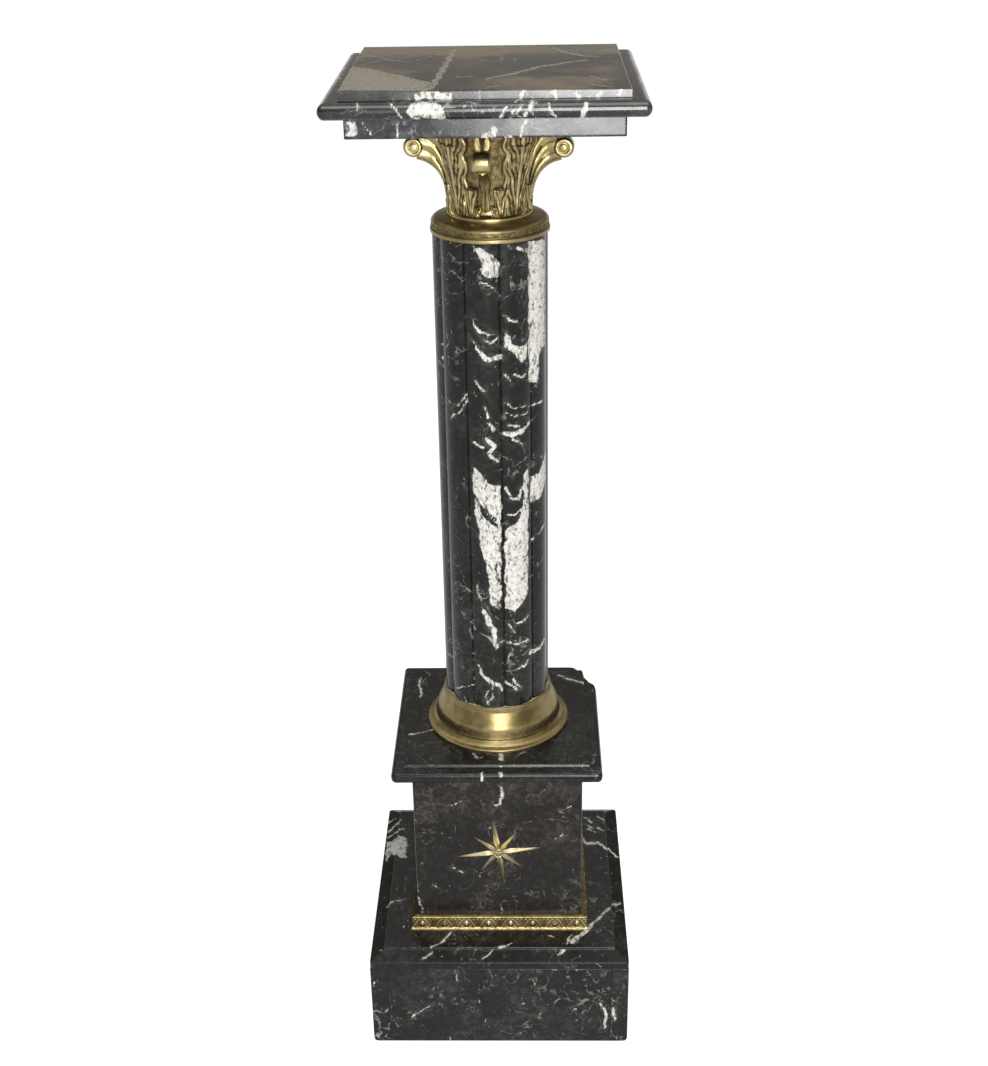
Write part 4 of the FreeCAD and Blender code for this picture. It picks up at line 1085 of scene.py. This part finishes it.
def leaf_sheet(path, half_width, lobes, sweep, rows, columns, rib_height):
    """Leaf over +X as a closed shell.

    Its middle line follows (radius, height) points. Across, the sheet wraps round the axis. Ribs leave the
    midrib steeply and sweep out to the lobes: a wave of the height less the sweep times the distance from
    the midrib, every second rib stronger. The same wave scallops the edge. Returns the grid and how deep
    its places lie."""
    line = curve_through(path, rows)
    up = np.linspace(0, 1, rows)[:, None]
    side = np.linspace(-1, 1, columns)[None, :]
    outline = np.interp(up, [0, 0.2, 0.42, 0.6, 0.8, 0.92, 1.0], [0.66, 0.80, 1.0, 0.96, 0.74, 0.5, 0.2])
    outline = outline * (1 - 0.16 * (0.5 - 0.5 * np.cos(2 * np.pi * (lobes * up - sweep))) ** 2)
    across = side * outline * half_width
    flow = lobes * up - sweep * np.abs(side) ** 1.15 + 0.12 * np.sin(5 * side + 7 * up)
    wave = (0.5 + 0.5 * np.cos(2 * np.pi * flow)) ** 0.7 * (0.78 + 0.22 * np.cos(np.pi * flow))
    midrib = np.exp(-(side / 0.10) ** 2)
    rim = smooth_share(np.abs(side), 0.86, 0.96)
    wave = wave * (0.74 + 0.26 * np.sin(2 * np.pi * (1.7 * lobes * up + 1.3 * side) + 3 * np.sin(9 * up)))
    relief = np.maximum(np.maximum(wave * smooth_share(np.abs(side), 0.06, 0.24), midrib), rim * 0.8)
    fade = smooth_share(up, 0.0, 0.08)
    tangent = np.gradient(line, axis=0)
    outward = np.stack([tangent[:, 1], -tangent[:, 0]], axis=-1)
    outward /= np.linalg.norm(outward, axis=1, keepdims=True)
    bow = 1.4 * (1 - side ** 2) * fade
    lift = LEAF_SHEET + bow + rib_height * relief * (0.35 + 0.65 * fade)

    def laid(height_above):
        """Sheet at a height above the middle line, wrapped round the axis."""
        spot = line[:, None, :] + outward[:, None, :] * height_above[..., None]
        return round_axis(spot[..., 0], across / np.maximum(spot[..., 0], 1.0), spot[..., 1])

    front = laid(lift)
    back = laid(np.zeros_like(lift))[:, ::-1]
    grid = np.concatenate([front, back], axis=1)
    # Grooves are marked darker as dirt and painted shade; the leaf's back is painted shade under the leaf
    return with_ends(grid, np.concatenate([1 - relief, np.full_like(relief, 0.8)], axis=1))


def leaf_path(foot, tip, curl, stand_off):
    """Middle line of a leaf: up the bell from its foot, then out and over in a curl."""
    bend = tip - 1.1 * curl
    heights = [foot + share * (bend - foot) for share in (0.0, 0.25, 0.5, 0.75, 1.0)]
    points = [(bell_radius(height) + stand_off, height) for height in heights]
    start = bell_radius(bend) + stand_off
    points += [(start + 0.22 * curl, bend + 0.70 * curl), (start + 0.75 * curl, tip),
               (start + 1.25 * curl, bend + 0.75 * curl), (start + 1.30 * curl, bend + 0.25 * curl)]
    return points


def capital_acanthus(index, material):
    """Corner leaf and the wider one above it, two leaflets at its foot and small scrolls beside them."""
    upper = leaf_sheet(leaf_path(foot=52.0, tip=98.5, curl=5.0, stand_off=0.8), half_width=25.0, lobes=5.0,
                       sweep=3.4, rows=40, columns=41, rib_height=1.5)
    leaf = leaf_sheet(leaf_path(foot=5.0, tip=77.0, curl=4.6, stand_off=0.3), half_width=19.5, lobes=6.0,
                      sweep=3.2, rows=80, columns=41, rib_height=1.5)
    leaflet = leaf_sheet(leaf_path(foot=4.5, tip=34.0, curl=2.0, stand_off=1.6), half_width=7.0, lobes=3.0,
                         sweep=1.5, rows=30, columns=19, rib_height=1.0)
    scroll = leaf_sheet(leaf_path(foot=4.0, tip=16.0, curl=3.6, stand_off=1.2), half_width=4.2, lobes=2.0,
                        sweep=1.0, rows=22, columns=11, rib_height=0.8)
    shells = [(upper, 0.0), (leaf, 0.0), (leaflet, -25.0), (leaflet, 25.0), (scroll, -33.0), (scroll, 33.0)]
    shells = [(shell, turn + 90 * index - 45) for shell, turn in shells]
    capital_piece("capital_acanthus_" + CORNERS[index], shells, material, 70.0)


# ---- star on the die ----
STAR_LONG = 49.0
STAR_SHORT = 38.0
STAR_TURN = 7.5


def star_ray(length, half_width, ridge):
    """Lance-shaped ray along +X, lying on the XY plane: narrow at the root, widest a quarter of the way.

    Each section is a ridge with hollowed flanks, closed along the bottom."""
    along = np.linspace(0.03, 0.995, 34)[:, None]
    widening = np.clip(along / 0.27, 0, 1) ** 0.75
    tapering = np.clip((1 - along) / 0.73, 0, 1) ** 0.92
    width = half_width * np.where(along < 0.27, widening, tapering)
    crest = ridge * (0.25 + 0.75 * tapering) * (0.45 + 0.55 * smooth_share(along, 0.02, 0.22))
    side = np.linspace(-1, 1, 13)[None, :]
    height = crest * (1 - np.abs(side)) ** 1.25 + 0.25
    y = np.concatenate([side * width, (side * width)[:, ::-1]], axis=1)
    z = np.concatenate([height, np.zeros_like(height)], axis=1)
    x = np.broadcast_to(along * length, y.shape)
    return capped(np.stack([x, y, z], axis=-1)[:, ::-1])


def stood_on_die(grid, centre):
    """Grid built on the XY plane, stood up against the die's front."""
    return np.stack([centre[0] + grid[..., 0], centre[1] - grid[..., 2], centre[2] + grid[..., 1]], axis=-1)


def star_centre():
    """Middle of the star's back, on the face of the die."""
    low, high = box_mm("star_screw")
    return np.array([(low[0] + high[0]) / 2, box_mm("die_front_panel")[0][1], (low[2] + high[2]) / 2])


def star_mount(material):
    """Eight ridged rays, long and short by turns, round a small disc."""
    centre = star_centre()
    surfaces = []
    for index in range(8):
        length, half_width = (STAR_LONG, 3.5) if index % 2 == 0 else (STAR_SHORT, 3.0)
        ray = turned_about(star_ray(length, half_width, 3.8), 45 * index + STAR_TURN)
        surfaces.append(as_surface(stood_on_die(ray, centre)))
    disc = divided(rounded([(0, 0), (5.2, 0), (5.2, 1.6, 0.6), (4.0, 2.6, 0.5), (0, 2.6)], 4), 2.0)
    surfaces.append(as_surface(stood_on_die(turned(disc, 48), centre)))
    star = together(surfaces)
    clean = {"shade_and_dirt_mark": np.zeros(len(star[0]))}
    make_piece("star_mount", star, material, "gilt_bronze", clean, crease=30.0)


def star_screw(material):
    """Rosette-headed screw: a ring of small petals about a sunk middle, on a plain shank."""
    centre = star_centre()
    depth = box_mm("star_screw")[1][1] - centre[1]
    points = [(0, -depth), (2.0, -depth), (2.0, 2.7), (4.2, 2.7, 0.2), (4.7, 4.0, 1.0), (3.9, 6.0, 0.9),
              (2.6, 5.2, 0.6), (1.8, 4.2, 0.4), (1.2, 4.8, 0.6), (0, 5.0)]
    grid = turned(divided(rounded(points, 4), 1.2), 96)
    on_head = grid[..., 2] > 2.8
    angle = np.arctan2(grid[..., 1], grid[..., 0])
    petals = 1 + 0.13 * np.cos(8 * angle) * on_head
    grid[..., :2] *= petals[..., None]
    # The sunk middle of the head is marked darker: dirt and painted shade
    shade_and_dirt_mark = {"shade_and_dirt_mark": np.where(on_head & (np.hypot(grid[..., 0], grid[..., 1]) < 3.0), 0.8, 0.1)}
    surface = as_surface(stood_on_die(grid, centre))
    make_piece("star_screw", surface, material, "gilt_bronze", shade_and_dirt_mark, crease=60.0)


# ---- leaf-and-dart moulding ----
FRIEZE_UNITS = 8


def frieze_relief(x, height, length):
    """How far the leaf-and-dart stands out, -1 in its grooves to +1 on its crests.

    Each unit has a pointed drop in its middle under a pointed arch; outside the arch, ribs fan up from
    the foot between two units. x is along the strip, height runs 0 to 1 over the carved band."""
    pitch = length / FRIEZE_UNITS
    from_drop = np.abs((x / pitch) % 1.0 - 0.5) * pitch
    arch = 8.2 * (1 - height) ** 0.8
    groove = np.exp(-((from_drop - arch) / 0.75) ** 2)
    rim = np.exp(-((from_drop - arch - 1.7) / 0.7) ** 2)
    drop = np.clip(1.25 - np.hypot(from_drop / 2.7, (height - 0.30) / 0.33), 0, 1) ** 0.6
    fan = np.arctan2(pitch / 2 - from_drop, height * 13.0 + 3.0)
    ribs = 0.5 + 0.5 * np.cos(fan * 21.0)
    outside = smooth_share(from_drop - arch, 0.4, 1.6)
    relief = outside * (1.3 * ribs - 0.5) + (1 - outside) * (1.7 * drop - 0.7)
    return np.clip(relief + 0.7 * rim - 1.5 * groove, -1.2, 1.2)


def frieze_strip(index, material):
    """Strip at one side of the die's foot: plain bands below and above, the carved band between; mitred."""
    wall = box_mm("die_front_panel")[1][0]
    reach, height = edge_and_height("frieze_front")
    projection = reach - wall
    foot_band, head_band = 3.2, 2.6
    outline = [(0.0, 0.0), (projection, 0.0), (projection, foot_band - 0.8), (projection - 0.7, foot_band)]
    carved_height = height - head_band - foot_band
    outline += [(projection - 1.4 - 0.6 * share, foot_band + 0.4 + share * (carved_height - 0.8))
                for share in np.linspace(0, 1, 22)]
    outline += [(projection - 2.0, height - head_band), (projection - 1.6, height - 1.9),
                (projection - 1.6, height - 0.5), (projection - 2.1, height), (0.0, height), (0.0, 0.0)]
    outline = np.array(outline)
    out = outline[:, 0, None]
    level = outline[:, 1, None]
    share = np.linspace(-1, 1, 300)[None, :]
    x = share * (wall + out)
    band = (level - foot_band) / carved_height
    carved_here = (out > 1) & (band > 0) & (band < 1)
    carving = frieze_relief(x + wall + projection, np.clip(band, 0, 1), 2 * (wall + projection))
    ends = smooth_share(wall + out - np.abs(x), 0.0, 1.5)
    stand = out + np.where(carved_here, carving * 0.8 * ends, 0)
    foot = box_mm("frieze_front")[0][2]
    grid = np.stack([x, -(wall + stand), np.broadcast_to(level, x.shape) + foot], axis=-1)
    # Dirt and painted shade in the carving's grooves and on the plain bands; each side gets more painted
    # shade than the front, the left strip the most
    depth = np.where(carved_here, 0.36 - 0.34 * carving, 0.62) + (0.0, 0.15, 0.3, 0.5)[index]
    grid = turned_about(grid, 90 * index)
    surfaces = [as_surface(grid, closed=False)]
    for rim in (grid[:, :1], grid[:, -1:][::-1]):
        middle = np.broadcast_to(rim.mean(axis=0, keepdims=True), rim.shape)
        surfaces.append(as_surface(np.concatenate([rim, middle], axis=1)[:, ::-1], closed=False))
    marks = [depth.reshape(-1)] + [np.full(len(surface[0]), 0.5) for surface in surfaces[1:]]
    marks = {"shade_and_dirt_mark": np.concatenate(marks)}
    make_piece("frieze_" + SIDES[index], together(surfaces), material, "gilt_bronze", marks, crease=60.0)


def frieze_pins(material):
    """Eight small domed pins, two to a strip."""
    wall = box_mm("die_front_panel")[1][0]
    foot = box_mm("frieze_front")[0][2]
    spread, height, stand = 65.0, 11.0, 6.8
    end = -stand - 7
    points = [(0, end), (0.8, end), (0.8, -0.6), (1.6, -0.2, 0.2), (1.5, 0.5, 0.8), (0, 0.8)]
    x, y, out = np.moveaxis(turned(divided(rounded(points, 3), 1.5), 20), -1, 0)
    surfaces = []
    for index in range(4):
        for offset in (-spread, spread):
            placed = np.stack([offset + x, -(wall + stand) - out, foot + height + y], axis=-1)
            surfaces.append(as_surface(turned_about(placed, 90 * index)))
    pins = together(surfaces)
    clean = {"shade_and_dirt_mark": np.zeros(len(pins[0]))}
    make_piece("frieze_pins", pins, material, "gilt_bronze", clean, crease=40.0)


# ---- stage ----
def bare_tree(owner):
    """Emptied node tree of a material or a world."""
    owner.use_nodes = True
    owner.node_tree.nodes.clear()
    return owner.node_tree


def white_floor():
    """Pale floor that keeps a soft shadow; the camera sees it mostly as plain white paper."""
    reach = 40.0
    corners = [(-reach, -reach, 0), (reach, -reach, 0), (reach, reach, 0), (-reach, reach, 0)]
    mesh = bpy.data.meshes.new("floor")
    mesh.from_pydata(corners, [], [(0, 1, 2, 3)])
    floor = in_scene("floor", mesh)
    material = bpy.data.materials.new("white_paper")
    tree = bare_tree(material)
    ray = node(tree, "ShaderNodeLightPath").outputs
    mirrored = larger(ray["Is Glossy Ray"], ray["Is Transmission Ray"])
    share = times(mirrored, 0.80)
    strength = larger(mirrored, times(ray["Is Camera Ray"], 0.80))
    paper = node(tree, "ShaderNodeBsdfDiffuse", {"Color": (0.80, 0.80, 0.80, 1.0)}).outputs[0]
    glow = node(tree, "ShaderNodeEmission", {"Color": WHITE, "Strength": strength}).outputs[0]
    both = node(tree, "ShaderNodeAddShader", {0: paper, 1: glow}).outputs[0]
    seen = node(tree, "ShaderNodeMixShader", {0: mirrored, 1: both, 2: paper}).outputs[0]
    mix = node(tree, "ShaderNodeMixShader", {0: share, 1: seen, 2: glow}).outputs[0]
    node(tree, "ShaderNodeOutputMaterial", {0: mix})
    mesh.materials.append(material)


ROOM_LIGHT = 0.27
SKY_BROWN = (0.20, 0.175, 0.14, 1.0)
SKY_PALE = (0.92, 0.90, 0.86, 1.0)


def room():
    """World of plain even light; camera, gloss and glass see white, a brown band and a pale top instead."""
    world = bpy.data.worlds.new("studio")
    bpy.context.scene.world = world
    tree = bare_tree(world)
    way = node(tree, "ShaderNodeTexCoord").outputs["Generated"]
    rise = node(tree, "ShaderNodeSeparateXYZ", {0: way}).outputs[2]
    band = blended(between(rise, 0.42, 0.68), SKY_BROWN, SKY_PALE)
    backdrop = blended(between(rise, 0.05, 0.14), WHITE, band)
    ray = node(tree, "ShaderNodeLightPath").outputs
    seen = larger(ray["Is Camera Ray"], larger(ray["Is Glossy Ray"], ray["Is Transmission Ray"]))
    colour = blended(seen, (ROOM_LIGHT, ROOM_LIGHT, ROOM_LIGHT, 1.0), backdrop)
    background = node(tree, "ShaderNodeBackground", {"Color": colour, "Strength": 1.0}).outputs[0]
    node(tree, "ShaderNodeOutputWorld", {0: background})


def soft_box(name, place, target, width, height, watts):
    """Rectangular studio lamp that faces a place."""
    data = bpy.data.lights.new(name, "AREA")
    data.shape = "RECTANGLE"
    data.size = width
    data.size_y = height
    data.energy = watts
    lamp = in_scene(name, data)
    lamp.rotation_euler = (Vector(place) - Vector(target)).to_track_quat("Z", "Y").to_euler()
    lamp.location = place
    lamp.visible_camera = False


def lights():
    """A soft window low in front, to the right of the middle, and a large soft lamp overhead."""
    soft_box("window", (0.30, -2.9, 1.30), (0.1, 0.0, 1.0), width=0.80, height=1.95, watts=78.0)
    soft_box("overhead", (0.1, -0.9, 2.9), (0.0, 0.0, 0.5), width=1.7, height=1.3, watts=25.0)


def photo_camera():
    """Camera where the photograph was taken from, by its measured place, turn and lens."""
    photo_tall = 1066.0
    focal_pixels = 1570.3
    place = np.array([0.0376, -1.5699, 1.3507])
    yaw, pitch, roll = np.radians([-1.417, -25.632, -0.973])
    ahead = np.array([np.sin(yaw) * np.cos(pitch), np.cos(yaw) * np.cos(pitch), np.sin(pitch)])
    level = np.array([np.cos(yaw), -np.sin(yaw), 0.0])
    above = np.cross(level, ahead)
    right = np.cos(roll) * level + np.sin(roll) * above
    up = -np.sin(roll) * level + np.cos(roll) * above
    data = bpy.data.cameras.new("photo_camera")
    data.sensor_width = 36.0
    data.lens = focal_pixels * data.sensor_width / photo_tall
    data.clip_start = 0.05
    camera = in_scene("photo_camera", data)
    columns = np.stack([right, up, -ahead, place], axis=-1)
    camera.matrix_world = Matrix(columns.tolist() + [[0, 0, 0, 1]])
    bpy.context.scene.camera = camera


# ---- the stand ----
def dress_marble():
    """Every marble piece, each cut from its own part of the block."""
    base_top_slab(black_marble("marble_base_slab", (0.3, 0.1, 0.0), flecks=0.8, roughness=0.2))
    plinth_cap(black_marble("marble_cap", (1.3, 0.4, 0.2), clouds=1.0, threads=0.3, flecks=0.3, curls=0.1,
                            roughness=0.18))
    abacus_slab(black_marble("marble_abacus", (2.1, 0.7, 0.5), cloud=STONE_BLUE, clouds=1.0, flecks=0.6,
                             mirror=0.42))
    top_slab(black_marble("marble_top", (3.7, 0.2, 0.9), threads=0.8, roughness=0.16, mirror=0.6,
                          table=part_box("top_slab")[1][2]))
    column_shaft(black_marble("marble_shaft", (0.0, 0.0, 0.0), threads=0.5, curls=0.25))
    base_stone = black_marble("marble_base", (4.4, 1.2, 0.3), clouds=1.0, threads=0.35, flecks=0.9,
                              curls=0.25, slender=0.7)
    side_stone = black_marble("marble_base_side", (5.4, 2.2, 0.8), clouds=1.0, flecks=1.0, curls=0.6)
    for side in ("front", "back"):
        panel("base_" + side + "_panel", base_stone)
    for side in ("right", "left"):
        panel("base_" + side + "_panel", side_stone, foot_radius=6.0)
    die_stone = black_marble("marble_die", (6.1, 3.3, 0.1), cloud=STONE_BROWN, clouds=0.9, threads=0.4,
                             curls=0.15, slender=0.8, roughness=0.2)
    for side in ("front", "back"):
        die_wide_panel(side, die_stone)
    for side in ("right", "left"):
        panel("die_" + side + "_panel", die_stone, radius=0.3)


def dress_gilt():
    """Every gilt bronze piece."""
    smooth = gilt_bronze("gilt_turned", smooth=0.32, colour=TURNED, worn=TURNED_WORN)
    cast = gilt_bronze("gilt_cast", smooth=0.30)
    base_ring(smooth)
    collar_ring(smooth)
    capital_bell(cast)
    for index in range(4):
        capital_volute(index, cast)
        capital_acanthus(index, cast)
        frieze_strip(index, cast)
    bright = gilt_bronze("gilt_star", smooth=0.36, dirt_and_shade=0.7, colour=STAR_GILT, worn=STAR_WORN)
    star_mount(bright)
    star_screw(bright)
    frieze_pins(cast)


def dress_inside():
    """Iron tie rod and its fittings keep their CAD shapes; the filler is made anew."""
    iron = old_iron("old_iron")
    for name in ("tie_rod", "rod_nut_top", "rod_nut_bottom", "rod_washer_top", "rod_washer_bottom",
                 "anchor_plate"):
        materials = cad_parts[name].data.materials
        materials.clear()
        materials.append(iron)
    shaft_foot_filler(pale_filler("old_filler"))


dress_marble()
dress_gilt()
dress_inside()
white_floor()
room()
lights()
photo_camera()
bpy.context.scene.view_settings.view_transform = "Standard"
